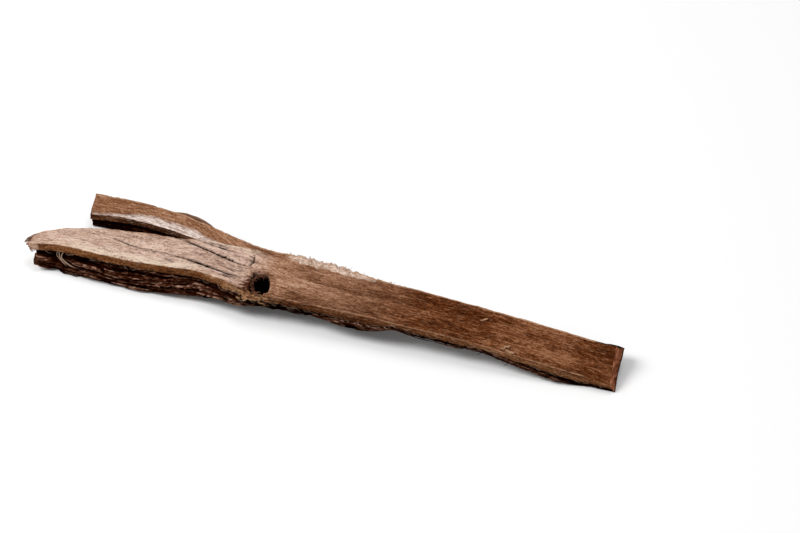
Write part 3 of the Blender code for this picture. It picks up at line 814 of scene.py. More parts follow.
@dataclass
class BarkStrip:
    """The strip itself, in place of the part's own node."""

    form: BarkForm
    cells_arms: int = 150
    cells_body: int = 330
    cells_near: int = 44
    cells_far: int = 22
    cells_deep: int = 20

    @property
    def columns(self) -> int:
        """How many cells the sheet has across, the fork's own column included."""
        return self.cells_near + 1 + self.cells_far

    @property
    def fork_share(self) -> float:
        """The share of the sheet's length at which the fork ends."""
        return self.cells_arms / (self.cells_arms + self.cells_body)

    def sheet(self) -> BMesh:
        """A flat sheet of cells one unit thick, with the fork's column of cells left out.

        Returns:
            The sheet as a closed mesh.
        """
        sheet = bmesh.new()
        length = self.cells_arms + self.cells_body
        bmesh.ops.create_grid(sheet, x_segments=length, y_segments=self.columns, size=0.5)
        fork = []
        for face in sheet.faces:
            middle = face.calc_center_median()
            column = int((middle.y + 0.5) * self.columns)
            if middle.x + 0.5 < self.fork_share and column == self.cells_near:
                fork.append(face)
        bmesh.ops.delete(sheet, geom=fork, context="FACES")
        bmesh.ops.solidify(sheet, geom=sheet.faces[:], thickness=1.0)
        split_upright(sheet, self.cells_deep - 1)
        return sheet

    def spot(self, share: float, column: int, row: int) -> Spot:
        """Find where one vertex of the sheet lies on the strip.

        Args:
            share: The share of the sheet's length.
            column: Which column of vertices, counted from the near edge.
            row: Which row down the edges, 0 being the upper side.

        Returns:
            The vertex's spot.
        """
        form = self.form
        if column <= self.cells_near:
            side, across = Side.NEAR, column / self.cells_near
        else:
            side, across = Side.FAR, (column - self.cells_near - 1) / self.cells_far
        step = row * form.deep_steps / self.cells_deep
        place = form.place_of(share, side, across, step, self.fork_share)
        near_y, far_y = BANDS[side].near_edge.at(place), BANDS[side].far_edge.at(place)
        y = mix(near_y, far_y, across)
        weights = (1 - smooth_step(0, form.edge_reach, inward) for inward in (y - near_y, far_y - y))
        fork_open = 1 - smooth_step(form.fork - 4, form.fork + 4, place)
        crisp = 1 - smooth_step(*form.crisp_end, place)
        shares = (mix(0.5, 1.0, crisp), fork_open) if side is Side.NEAR else (fork_open, crisp)
        return Spot(side, across, share, place, y, step, row == 0, *weights, *shares)

    def locate(self, spot: Spot) -> tuple[Vector, dict[Mark, float]]:
        """Where a spot of the sheet lies on the bark, and what its surface is like there.

        Args:
            spot: The spot.

        Returns:
            The point and its marks.
        """
        form, side, place, step = self.form, spot.side, spot.place, spot.step
        near_layer, far_layer = EDGES[side]
        y, (near_reach, far_reach) = spot.y, spot.reach
        upper = form.upper_height(place, y, side)
        lower = form.lower_height(place, y, spot.across, side, upper)
        under = form.outer_relief(place, y) - 0.5 + 2 * form.outer_roughness(place, y)
        near_shag = form.shagginess(place) if side is Side.NEAR else 0.0
        height = upper - form.depth_of(step, upper - lower, near_shag * spot.near_weight)
        slim = min(1.0, (upper - lower) / form.thick_edge)
        shags = (near_shag, 0.5 * spot.far_share) if side is Side.NEAR else (0.1, 0.1)
        y -= slim * near_reach * form.edge_offset(place, step, shags[0], near_layer)
        y += slim * far_reach * form.edge_offset(place, step, shags[1], far_layer)
        lean = form.far_lean * smooth_step(*form.far_lean_along, place)
        y += lean * step / form.deep_steps * smooth_step(-2, 3, y)
        crack = max(item.depth_at(place, y) for item in CRACKS) if spot.on_top else 0.0
        if spot.on_top:
            height += form.dressing(place, y, side, crack)
        # How far the outer bark stands out, which the material turns into painted shade in the furrows and a
        # painted highlight on the ledges.
        ridge = under
        if max(near_reach, far_reach) > 0.3:
            layer = near_layer if spot.near_weight > spot.far_weight else far_layer
            ridge = form.furrow(place, step, layer)
        return Vector((place, y, height)), self.marks(spot, y, crack, ridge)

    def cream(self, spot: Spot, y: float) -> float:
        """How much of the pale smooth strips beside the near arm's edges there is at a spot.

        Args:
            spot: The spot.
            y: Where it lies across the strip.

        Returns:
            The share, from 0 to 1.
        """
        form, place, band = self.form, spot.place, BANDS[spot.side]
        inward, rest = y - band.near_edge.at(place), band.far_edge.at(place) - y
        if spot.step >= 1:
            return 0.0
        if spot.side is Side.FAR:
            return form.seam_line(place, inward)
        return max(form.seam_line(place, rest), form.cream_at(place, inward))

    def marks(self, spot: Spot, y: float, crack: float, ridge: float) -> dict[Mark, float]:
        """What the bark's surface is like at a spot.

        Args:
            spot: The spot.
            y: Where it lies across the strip, roughness and all.
            crack: How deep a drying crack is there.
            ridge: How far the outer bark stands out there, from about -1 to 1, which sets the painted shade in its
                furrows and the painted highlight on its ledges.

        Returns:
            The value of each mark, from 0 to 1.
        """
        form, side, place, step = self.form, spot.side, spot.place, spot.step
        near, upper_edge, (near_reach, far_reach) = side is Side.NEAR, step < 2, spot.reach
        on_near_arm = form.on_near_arm(place, side)
        cream = self.cream(spot, y)
        checks = form.checks(place, y, on_near_arm) * (1 - cream) if spot.on_top else 0.0
        pit = form.knot.depth_at(place, y) if spot.on_top else 0.0
        slit = form.slit(place, step, form.shagginess(place)) * spot.near_weight if near else 0.0
        is_end = not 1e-6 < spot.share < 1 - 1e-6
        return {
            Mark.FLANK: step / form.deep_steps,
            Mark.WEATHERED: on_near_arm,
            Mark.FAR_ARM: form.on_far_arm(place, side),
            Mark.RIM: form.rim_at(place, y) if upper_edge else 0.0,
            Mark.BEVEL: form.bevel_at(place, y, side) if spot.on_top else 0.0,
            # Painted shade in the cracks, the knot pit, the checks and the slit.
            Mark.HOLLOW: max(min(crack / 0.8, 1.0), min(pit / 1.2, 1.0), 0.6 * checks, slit),
            Mark.SAWN: 1.0 if is_end and (not near or spot.share > 0.5) else 0.0,
            Mark.RIDGE: min(max(0.5 + 0.5 * ridge, 0.0), 1.0),
            Mark.EDGE: max(0.94 * near_reach, far_reach) ** 6 if spot.on_top else 0.0,
            Mark.SCAR: form.knot.scar_and_shade_at(place, y) if near and upper_edge else 0.0,
            Mark.TORN: form.torn_at(place, y, step) if near else 0.0,
            Mark.CREAM: cream,
        }

    def build(self) -> Object:
        """Shape the sheet into the strip and give each vertex its marks.

        Returns:
            The strip's object.
        """
        sheet = self.sheet()
        highest = max(vertex.co.z for vertex in sheet.verts)
        grain = sheet.verts.layers.float_vector.new(GRAIN)
        layers = {mark: sheet.verts.layers.float.new(mark.value) for mark in Mark}
        for vertex in sheet.verts:
            column = round((vertex.co.y + 0.5) * self.columns)
            row = round((highest - vertex.co.z) * self.cells_deep)
            spot = self.spot(vertex.co.x + 0.5, column, row)
            point, marks = self.locate(spot)
            vertex.co = point
            vertex[grain] = straightened(self.form, point, spot.side)
            for mark, layer in layers.items():
                vertex[layer] = marks[mark]
        bmesh.ops.recalc_face_normals(sheet, faces=sheet.faces[:])
        return placed("bark", sheet, BarkFinish().material())


def placed(name: str, shape: BMesh, material: Material) -> Object:
    """Turn a shape in millimetres into a piece of the strip, in its place.

    Args:
        name: The piece's name.
        shape: Its mesh in the source's millimetres. It is freed.
        material: What it is made of.

    Returns:
        The piece, smooth shaded and riding on the strip's one body.
    """
    into_part = Matrix.Scale(MM, 4) @ Matrix.Translation(SHIFT)
    bmesh.ops.transform(shape, matrix=into_part, verts=shape.verts[:])
    mesh = bpy.data.meshes.new(name)
    shape.to_mesh(mesh)
    shape.free()
    mesh.shade_smooth()
    mesh.materials.append(material)
    piece = bpy.data.objects.new(name, mesh)
    bpy.context.scene.collection.objects.link(piece)
    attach(piece, BODY)
    return piece


def blank() -> BMesh:
    """An empty mesh with the layers that fibres and flakes carry: their tone and their place in the grain.

    Returns:
        The mesh.
    """
    shape = bmesh.new()
    shape.verts.layers.float.new(TONE)
    shape.verts.layers.float_vector.new(GRAIN)
    return shape


def plate(cells_along: int, cells_across: int, thickness: float = 1.0) -> BMesh:
    """A flat plate of cells, one unit long and wide.

    Args:
        cells_along: How many cells it has along.
        cells_across: How many cells it has across.
        thickness: How thick it is.

    Returns:
        The plate as a closed mesh.
    """
    part = blank()
    bmesh.ops.create_grid(part, x_segments=cells_along, y_segments=cells_across, size=0.5)
    bmesh.ops.solidify(part, geom=part.faces[:], thickness=thickness)
    return part


def rod(sides: int, cuts: int, tip_share: float = 1.0) -> BMesh:
    """An upright rod one unit long and one unit in radius, cut across into short lengths.

    Args:
        sides: How many sides it has.
        cuts: How many cuts across it.
        tip_share: The radius of its upper end.

    Returns:
        The rod as a closed mesh.
    """
    part = blank()
    bmesh.ops.create_cone(part, cap_ends=True, segments=sides, radius1=1.0, radius2=tip_share, depth=1.0)
    split_upright(part, cuts)
    return part


def layers_of(part: BMesh) -> tuple[Any, Any]:
    """The layers of tone and of place in the grain that a part's vertices carry."""
    return part.verts.layers.float[TONE], part.verts.layers.float_vector[GRAIN]


class Bundle:
    """Many small parts gathered into one mesh."""

    def __init__(self) -> None:
        """Start with nothing in it."""
        self.shape = blank()
        self.scratch = bpy.data.meshes.new("scratch")

    def add(self, part: BMesh) -> None:
        """Put one more part in.

        Args:
            part: Its mesh, which is freed.
        """
        bmesh.ops.recalc_face_normals(part, faces=part.faces[:])
        part.to_mesh(self.scratch)
        part.free()
        self.shape.from_mesh(self.scratch)

    def placed(self, name: str, material: Material) -> Object:
        """Turn everything in it into one piece of the strip."""
        bpy.data.meshes.remove(self.scratch)
        return placed(name, self.shape, material)


@dataclass
class Fibre:
    """One tapered fibre, a slim cone bent along a curve."""

    root: Vector
    tip: Vector
    bow: Vector
    radius: float
    tone: float
    tip_share: float = 0.15
    sides: int = 3
    cuts: int = 3

    def shape(self) -> BMesh:
        """Bend a cone along the fibre's curve.

        Returns:
            The fibre's mesh.
        """
        part = rod(self.sides, self.cuts, self.tip_share)
        tones, grains = layers_of(part)
        run = self.tip - self.root
        across = run.orthogonal().normalized()
        upward = run.cross(across).normalized()
        for vertex in part.verts:
            share = vertex.co.z + 0.5
            spine = self.root + run * share + self.bow * (4 * share * (1 - share))
            sideways = vertex.co * self.radius
            vertex[tones] = self.tone
            vertex[grains] = Vector((run.length * share, 40 * self.tone + sideways.x, sideways.y))
            vertex.co = spine + across * sideways.x + upward * sideways.y
            vertex.co.z = max(vertex.co.z, FIBRE_FLOOR)
        return part


@dataclass
class RimFibres:
    """The pale frayed fibres that stand on the crumbly rim of the far edge."""

    form: BarkForm
    count: int = 420
    along: tuple[float, float, float] = (-19, 32, -8)
    tip_share: float = 0.3
    seed: int = 11

    def build(self) -> Object:
        """Scatter short fibres over the rim, in tufts.

        Returns:
            The rim's fibres as one piece.
        """
        draw = random.Random(self.seed)
        bundle = Bundle()
        for _ in range(self.count):
            place = draw.triangular(*self.along)
            tuft = smooth_step(-0.25, 0.45, wave(place, 0.0, 3.1, 1.0, 91.0))
            inward = draw.uniform(-0.2, 1.9)
            y = FAR_BAND.far_edge.at(place) - inward
            height = self.form.upper_height(place, y, Side.FAR) - 0.25
            length = draw.uniform(0.3, 0.8) + 1.2 * tuft * draw.random() ** 4
            way = Vector((draw.gauss(0, 1.9), draw.uniform(-0.4, 0.6), draw.uniform(-0.1, 0.5))).normalized()
            root = Vector((place, y, height))
            bow = Vector((draw.uniform(-0.2, 0.2), draw.uniform(-0.1, 0.2), draw.uniform(-0.1, 0.25)))
            radius, tone = draw.uniform(0.1, 0.24), draw.random()
            bundle.add(Fibre(root, root + way * length, bow * length, radius, tone, self.tip_share).shape())
        return bundle.placed("rim_fibres", FibreFinish(Strand.PALE).material())


@dataclass
class EdgeFibres:
    """Short dry fibres that fray from the long edges, the fork and the torn tongue."""

    form: BarkForm
    near_count: int = 260
    fork_count: int = 200
    tongue_count: int = 80
    near_steps: tuple[float, ...] = (0.5, 1.9, 2.1, 2.3, 2.6)
    seed: int = 23

    def near_fibre(self, draw: random.Random) -> Fibre:
        """One fibre that frays from the near edge.

        Args:
            draw: The piece's random source.

        Returns:
            The fibre.
        """
        place = draw.uniform(-98, 98)
        step = draw.choice(self.near_steps) + draw.uniform(-0.2, 0.2)
        root = self.form.near_flank(place, step) + Vector((0, 0.25, 0))
        length = draw.uniform(0.8, 3.4)
        lean = Vector((draw.choice((-1, 1)), -draw.uniform(0.02, 0.4), -draw.uniform(0.0, 0.3))) * length
        bow = Vector((0, -draw.uniform(0.0, 0.2), draw.uniform(-0.15, 0.1))) * length
        return Fibre(root, root + lean, bow, draw.uniform(0.05, 0.13), draw.random())

    def fork_fibre(self, draw: random.Random) -> Fibre:
        """One fibre that frays from either side of the fork.

        Args:
            draw: The piece's random source.

        Returns:
            The fibre.
        """
        place = draw.uniform(-85, -30)
        line, height = NEAR_BAND.far_edge, NEAR_BAND.top_far
        if draw.random() >= 0.6:
            line, height = FAR_BAND.near_edge, FAR_BAND.top_near
        root = Vector((place, line.at(place), height.at(place) - draw.uniform(0.3, 1.6)))
        length = draw.uniform(0.8, 3.0)
        lean = Vector((draw.choice((-1, 1)), draw.uniform(-0.2, 0.2), draw.uniform(-0.2, 0.12))) * length
        return Fibre(root, root + lean, Vector((0, 0, 0.1 * length)), draw.uniform(0.05, 0.12), draw.random())

    def tongue_fibre(self, draw: random.Random) -> Fibre:
        """One splinter at the torn tongue's tip or at the broken outer bark below it.

        Args:
            draw: The piece's random source.

        Returns:
            The fibre.
        """
        step = draw.choice((draw.uniform(0.2, 2.0), draw.uniform(3.0, 5.6)))
        y = draw.uniform(-17.0, -11.5)
        place = self.form.torn_end(y, step) + draw.uniform(0.5, 1.3)
        height = NEAR_BAND.top_near.at(place) - self.form.depth_of(step, 7.5, 1.0) - 0.6
        root = Vector((place, y, max(height, 0.4)))
        lean = Vector((-draw.uniform(0.5, 1.5), draw.uniform(-0.5, 0.5), draw.uniform(-0.5, 0.3)))
        radius, tone = draw.uniform(0.08, 0.24), 0.7 * draw.random()
        return Fibre(root, root + lean, Vector((0, 0, 0)), radius, tone, tip_share=0.3)

    def build(self) -> Object:
        """Scatter fibres along the grain on each edge.

        Returns:
            The edges' fibres as one piece.
        """
        draw = random.Random(self.seed)
        bundle = Bundle()
        kinds = (
            (self.near_fibre, self.near_count), (self.fork_fibre, self.fork_count),
            (self.tongue_fibre, self.tongue_count),
        )
        for fibre, count in kinds:
            for _ in range(count):
                bundle.add(fibre(draw).shape())
        return bundle.placed("edge_fibres", FibreFinish(Strand.TAN).material())


@dataclass
class KnotFibres:
    """The reddish ragged fibres that hang over the left lip of the knot pit."""

    form: BarkForm
    count: int = 110
    seed: int = 31

    def build(self) -> Object:
        """Root fibres on the pit's left and far lip and let them lean over it.

        Returns:
            The pit's fibres as one piece.
        """
        draw = random.Random(self.seed)
        bundle = Bundle()
        knot = self.form.knot
        for _ in range(self.count):
            angle = math.radians(draw.uniform(75, 250))
            place, y = knot.point_at(angle, draw.uniform(0.86, 1.08))
            height = self.form.upper_height(place, y, Side.NEAR) + 0.15
            length = draw.uniform(0.7, 1.9)
            lean = Vector((draw.uniform(0.4, 1.0), draw.uniform(-0.5, 0.2), draw.uniform(-0.5, 0.35))) * length
            bow = Vector((0, 0, draw.uniform(0.05, 0.3))) * length
            root = Vector((place, y, height))
            bundle.add(Fibre(root, root + lean, bow, draw.uniform(0.09, 0.24), draw.random()).shape())
        return bundle.placed("knot_fibres", FibreFinish(Strand.RED).material())


@dataclass
class BastStrand:
    """One long strand, a slim rod bent along a curve through its corner points."""

    path: Trail
    radius: float
    tone: float
    sides: int = 6
    cuts: int = 15
    flatness: float = 1.0
    end_share: float = 0.5

    def shape(self) -> BMesh:
        """Bend a rod along the strand's curve.

        Returns:
            The strand's mesh.
        """
        part = rod(self.sides, self.cuts)
        tones, grains = layers_of(part)
        numbered = list(enumerate(self.path))
        lines = [Line([(float(index), point[axis]) for index, point in numbered]) for axis in range(3)]
        legs = len(self.path) - 1
        for vertex in part.verts:
            share = vertex.co.z + 0.5
            here, ahead, behind = (
                Vector([line.curve(share * legs + shift) for line in lines]) for shift in (0, 0.05, -0.05)
            )
            turn = (ahead - behind).to_track_quat("Z", "Y")
            swell = 1 + 0.25 * noise.noise(Vector((9 * share, self.tone * 50, 0.0)))
            width = self.radius * mix(self.end_share, 1.0, rounded(share)) * swell
            sideways = Vector((vertex.co.x * width * self.flatness, vertex.co.y * width, 0.0))
            vertex[tones] = self.tone
            vertex[grains] = Vector((20 * share, 40 * self.tone + sideways.x, sideways.y))
            vertex.co = here + turn @ sideways
            vertex.co.z = max(vertex.co.z, FIBRE_FLOOR)
        return part


@dataclass
class HangingStrands:
    """Light bast strands that hang from the near arm's band in front of its dark outer bark."""

    radius: float = 0.17
    seed: int = 41
    paths: tuple[Trail, ...] = (
        ((-90.0, -14.2, 7.4), (-88.6, -17.2, 5.9), (-86.6, -17.9, 3.9), (-85.8, -17.0, 2.2), (-83.0, -15.8, 1.4)),
        ((-87.4, -14.2, 7.4), (-87.9, -17.2, 6.2), (-86.0, -18.0, 4.8), (-82.8, -17.6, 3.0), (-80.0, -15.6, 2.4)),
    )

    def build(self) -> Object:
        """Bend the two main strands, each with a thinner one beside it.

        Returns:
            The strands as one piece.
        """
        draw = random.Random(self.seed)
        bundle = Bundle()
        for path in self.paths:
            bundle.add(BastStrand(path, self.radius, draw.uniform(0.6, 0.9)).shape())
            shift = Vector((draw.uniform(-2.5, 4.0), draw.uniform(-0.1, 0.3), draw.uniform(-0.9, 0.3)))
            beside = []
            for index, point in enumerate(path):
                stray = Vector((draw.uniform(-0.9, 0.9), 0, draw.uniform(-0.5, 0.5)))
                beside.append(tuple(Vector(point) + shift * (0.4 + 0.3 * index) + stray))
            bundle.add(BastStrand(beside, draw.uniform(0.06, 0.13), draw.random()).shape())
        return bundle.placed("hanging_strands", FibreFinish(Strand.TAN).material())


@dataclass
class SprungSliver:
    """The thin sliver that has sprung a little away from the far arm's edge, still fast at both ends."""

    start: tuple[float, float] = (-65.0, 15.2)
    end: tuple[float, float] = (-41.0, 9.4)
    bow: float = 1.9
    radius: float = 0.9
    inset: float = 0.4
    below_top: Rise = (1.3, 0.4)
    corners: int = 9

    def build(self) -> Object:
        """Bend the sliver along its bow.

        Returns:
            The sliver's object.
        """
        path = []
        for index in range(self.corners):
            share = index / (self.corners - 1)
            sprung = math.sin(math.pi * share)
            place = mix(self.start[0], self.end[0], share)
            y = mix(self.start[1], self.end[1], share) + self.bow * sprung - self.inset
            path.append((place, y, FAR_BAND.top_far.at(place) - mix(*self.below_top, sprung)))
        bundle = Bundle()
        plank = BastStrand(path, self.radius, 0.35, sides=8, cuts=47, flatness=0.4, end_share=0.1)
        bundle.add(plank.shape())
        return bundle.placed("sprung_sliver", FibreFinish(Strand.BROWN).material())


@dataclass
class Flake:
    """One flake: a long thin plate with ragged borders that lies along the near edge's outer bark."""

    form: BarkForm
    place: float
    length: float
    step: float
    height: float
    lift: float
    tone: float
    drift: float = 0.0
    cells: int = 14
    reach: Rise = (-98.0, 97.0)
    deepest: float = 5.95

    def shape(self) -> BMesh:
        """Lay a plate of a few cells along the edge.

        Returns:
            The flake's mesh.
        """
        part = plate(self.cells, 2)
        tones, grains = layers_of(part)
        lowest = min(vertex.co.z for vertex in part.verts)
        for vertex in part.verts:
            along, across, outward = vertex.co.x, vertex.co.y, vertex.co.z - lowest
            taper = (1 - abs(2 * along) ** 2.5) ** 0.8
            at = self.place + self.length * along
            ragged = 0.45 * wave(at, across, 3.5, 0.6, self.tone * 90)
            ragged += 0.3 * wave(at, across, 1.3, 0.6, self.tone * 70)
            down = self.step + self.drift * along + self.height * (taper * (across + ragged) + 0.1 * ragged)
            place = min(max(at, self.reach[0]), self.reach[1])
            base = self.form.near_flank(place, min(max(down, 0.0), self.deepest), even=True)
            lifted = 0.2 + self.lift * smooth_step(-0.2, 0.5, along) * taper
            away = lifted + outward * mix(0.2, 0.55, self.tone) * mix(0.3, 1.0, taper)
            vertex[tones] = self.tone
            vertex[grains] = Vector((at, 2 * down, 30 * self.tone))
            vertex.co = Vector((base.x, base.y - away, max(base.z, FLAKE_FLOOR)))
        return part


@dataclass
class OuterCoat:
    """The near arm's shaggy side: long ragged layers that overlap like shingles, with painted shade in the gaps.
    """

    form: BarkForm
    start: float = -98.6
    end: float = -13.0
    first_step: float = 2.8
    last_step: float = 5.97
    cells_long: int = 380
    cells_high: int = 56
    inner_depth: float = 1.6
    hollow_along: Span = (-93, -88, -80, -70)
    hollow_down: Span = (2.4, 2.8, 3.9, 4.6)
    under_band: Rise = (3.1, 3.55)
    torn_along: Span = (-56, -48, -36, -30)
    torn_down: Span = (3.2, 3.5, 4.2, 4.7)
    chunk_fades: Rise = (-94, -89)
    hold_along: Span = (0.0, 0.012, 0.86, 1.0)
    hold_down: Span = (-0.02, 0.05, 0.93, 1.0)

    def layers(self, place: float, step: float) -> tuple[float, float]:
        """How far the coat stands out at a point and how light it is there.

        Args:
            place: The place along the strip.
            step: The step down the edge.

        Returns:
            The distance out, and the tone, from 0 in a gap to 1 on a lip: painted shade in the gaps, holes and
            hollows, and a painted highlight where a layer stands out most.
        """
        phase = 1.15 * step + 0.95 * wave(place, step, 28, 1.6, 87.0) + 0.2 * wave(place, step, 6, 0.6, 88.0)
        layer = math.floor(phase)
        share = phase - layer
        own = wave(place, 5.3 * layer, 19, 1.0, 89.0) + 0.3 * wave(place, 5.3 * layer, 4.0, 1.0, 90.0)
        strings = wave(place, step, 8, 0.15, 92.0)
        crumbs = wave(place, step, 1.3, 0.22, 93.0)
        hole = smooth_step(-0.02, -0.3, own)
        hollow = hump(place, *self.hollow_along) * hump(step, *self.hollow_down)
        hollow = max(hollow, 1 - smooth_step(*self.under_band, step))
        torn = hump(place, *self.torn_along) * hump(step, *self.torn_down)
        chunk = 1 - smooth_step(*self.chunk_fades, place)
        rise = 1.3 * share**2 + 1.2 * own - 1.3 * hole - 1.3 * hollow + 0.3 * strings
        rise += mix(0.2, 0.9, torn) * crumbs
        # Painted shade: the tone drops to 0 at the top of each layer, under the lip of the layer above, and in the
        # holes and hollows; the share squared paints a highlight where a layer stands out most.
        gap = 1 - smooth_step(0.05, 0.3, share)
        tone = 0.22 + 0.5 * share**2 + 0.75 * own + 0.45 * strings + 0.3 * crumbs + 0.3 * max(torn, chunk)
        return rise, min(max(tone, 0.0), 1.0) * (1 - gap) * (1 - hole) * (1 - 0.95 * hollow)

    def build(self) -> Object:
        """Bend a fine sheet over the side and raise its layers.

        Returns:
            The coat's object.
        """
        part = plate(self.cells_long, self.cells_high)
        tones, grains = layers_of(part)
        lowest = min(vertex.co.z for vertex in part.verts)
        for vertex in part.verts:
            along, down, inner = vertex.co.x + 0.5, 0.5 - vertex.co.y, vertex.co.z - lowest < 0.5
            step = mix(self.first_step, self.last_step, down)
            ragged = 1.6 * abs(wave(step, 0.0, 0.5, 1.0, 94.0)) + 0.8 * abs(wave(step, 0.0, 0.17, 1.0, 95.0))
            place = mix(self.start + ragged, self.end, along)
            base = self.form.near_flank(place, step, even=True)
            rise, tone = self.layers(place, step)
            hold = hump(along, *self.hold_along) * hump(down, *self.hold_down)
            away = -self.inner_depth if inner else mix(-1.2, rise, hold)
            vertex[tones] = tone
            vertex[grains] = Vector((place, 2 * step, rise))
            vertex.co = Vector((base.x, base.y - away, max(base.z, FLAKE_FLOOR)))
        bmesh.ops.recalc_face_normals(part, faces=part.faces[:])
        return placed("outer_coat", part, FlakeFinish().material())


@dataclass
class SurfaceChips:
    """The few small curled chips that stick to the body's upper side."""

    form: BarkForm
    chips: tuple[tuple[float, float, float, float], ...] = (
        (65.2, -9.4, 3.6, 35.0), (67.0, -10.2, 3.4, -12.0), (55.6, -2.0, 2.6, 20.0),
    )
    thickness: float = 0.2
    width_share: float = 0.24
    cells: int = 8

    def build(self) -> Object:
        """Curl each chip up from the upper side.

        Returns:
            The chips as one piece.
        """
        bundle = Bundle()
        for place, y, length, turn in self.chips:
            part = plate(self.cells, 2, self.thickness)
            tones, grains = layers_of(part)
            spin = Matrix.Rotation(math.radians(turn), 3, "Z")
            for vertex in part.verts:
                along, across, up = vertex.co
                taper = max(1 - abs(2 * along) ** 2, 0.0) ** 0.5
                ragged = 0.9 * wave(place + 3 * along, across, 0.7, 0.5, 98.0)
                sideways = self.width_share * length * taper * (across + ragged)
                at = Vector((place, y, 0)) + spin @ Vector((length * along, sideways, 0))
                curl = 0.8 * max(along, -0.1) + 0.8 * across**2 + 0.25 + up
                vertex[tones] = 0.2 + 0.5 * along
                vertex[grains] = Vector((at.x, at.y, 7 * length))
                vertex.co = Vector((at.x, at.y, self.form.upper_height(at.x, at.y, Side.NEAR) + curl))
            bundle.add(part)
        return bundle.placed("surface_chips", FibreFinish(Strand.CHIP).material())


@dataclass
class BarkFlakes:
    """The long dark flakes and strings of outer bark that overlap on the near edge, below its band."""

    form: BarkForm
    arm_flakes: int = 46
    body_flakes: int = 60
    strings: int = 90
    spikes: tuple[tuple[float, float], ...] = ((58.5, 2.2), (60.5, 1.5), (67.6, 2.6), (69.0, 1.6))
    ledges: tuple[tuple[float, float, float, float, float], ...] = (
        (-79, 15, 3.7, 0.35, 0.8), (-64, 22, 3.8, 0.3, 0.7), (-52, 24, 3.6, 0.3, 0.75),
        (-40, 15, 3.5, 0.45, 0.95), (-31, 18, 4.5, 0.35, 0.8), (-70, 30, 4.7, 0.3, 0.7),
        (-46, 26, 5.1, 0.3, 0.7), (70, 22, 3.1, 0.45, 0.95), (80, 14, 3.5, 0.4, 0.8),
        (14, 24, 3.2, 0.5, 0.75), (24, 16, 3.6, 0.5, 0.7),
    )
    seed: int = 53

    def string(self, draw: random.Random) -> BMesh:
        """One string of bark fibre that lies along the near arm's outer bark.

        Args:
            draw: The piece's random source.

        Returns:
            The string's mesh.
        """
        length = draw.uniform(5, 18)
        start = draw.uniform(-95, -20 - length)
        step, drift = draw.uniform(2.6, 5.4), draw.uniform(-0.25, 0.25)
        path = []
        for index in range(4):
            point = self.form.near_flank(start + length * index / 3, step + drift * index, even=True)
            away = draw.uniform(0.0, 1.0) if 0 < index < 3 else -0.2
            path.append((point.x, point.y - away, max(point.z, 0.3)))
        return BastStrand(path, draw.uniform(0.12, 0.34), draw.random(), sides=4, cuts=7).shape()

    def build(self) -> Object:
        """Lay the flakes and strings over the near arm's outer bark, and flakes over the patches on the body.

        Returns:
            The flakes as one piece.
        """
        draw = random.Random(self.seed)
        bundle = Bundle()
        for _ in range(self.arm_flakes):
            length = draw.uniform(6, 26)
            bundle.add(Flake(
                self.form, draw.uniform(-96 + 0.5 * length, -20), length, draw.uniform(2.6, 5.5),
                draw.uniform(0.2, 0.65), draw.uniform(0.0, 0.9), draw.random() ** 1.6, draw.uniform(-0.35, 0.35),
            ).shape())
        for _ in range(self.body_flakes):
            place = draw.choice((draw.uniform(6, 32), draw.uniform(56, 88), draw.uniform(-20, 88)))
            bundle.add(Flake(
                self.form, place, draw.uniform(4, 14), draw.uniform(2.7, 5.0),
                draw.uniform(0.3, 0.8), draw.uniform(0.0, 0.3), draw.random() ** 1.6,
            ).shape())
        for place, length, step, height, tone in self.ledges:
            drift = draw.uniform(-0.2, 0.2)
            bundle.add(Flake(self.form, place, length, step, height, 0.7, tone, drift, cells=24).shape())
        for _ in range(self.strings):
            bundle.add(self.string(draw))
        for place, length in self.spikes:
            root = self.form.near_flank(place, 4.2, even=True) + Vector((0, 0.6, 0))
            tip = root + Vector((-0.45 * length, -0.9 * length, -0.2 * length))
            bundle.add(Fibre(root, tip, Vector((0.2, 0, 0)), 0.28, 0.1).shape())
        return bundle.placed("bark_flakes", FlakeFinish().material())


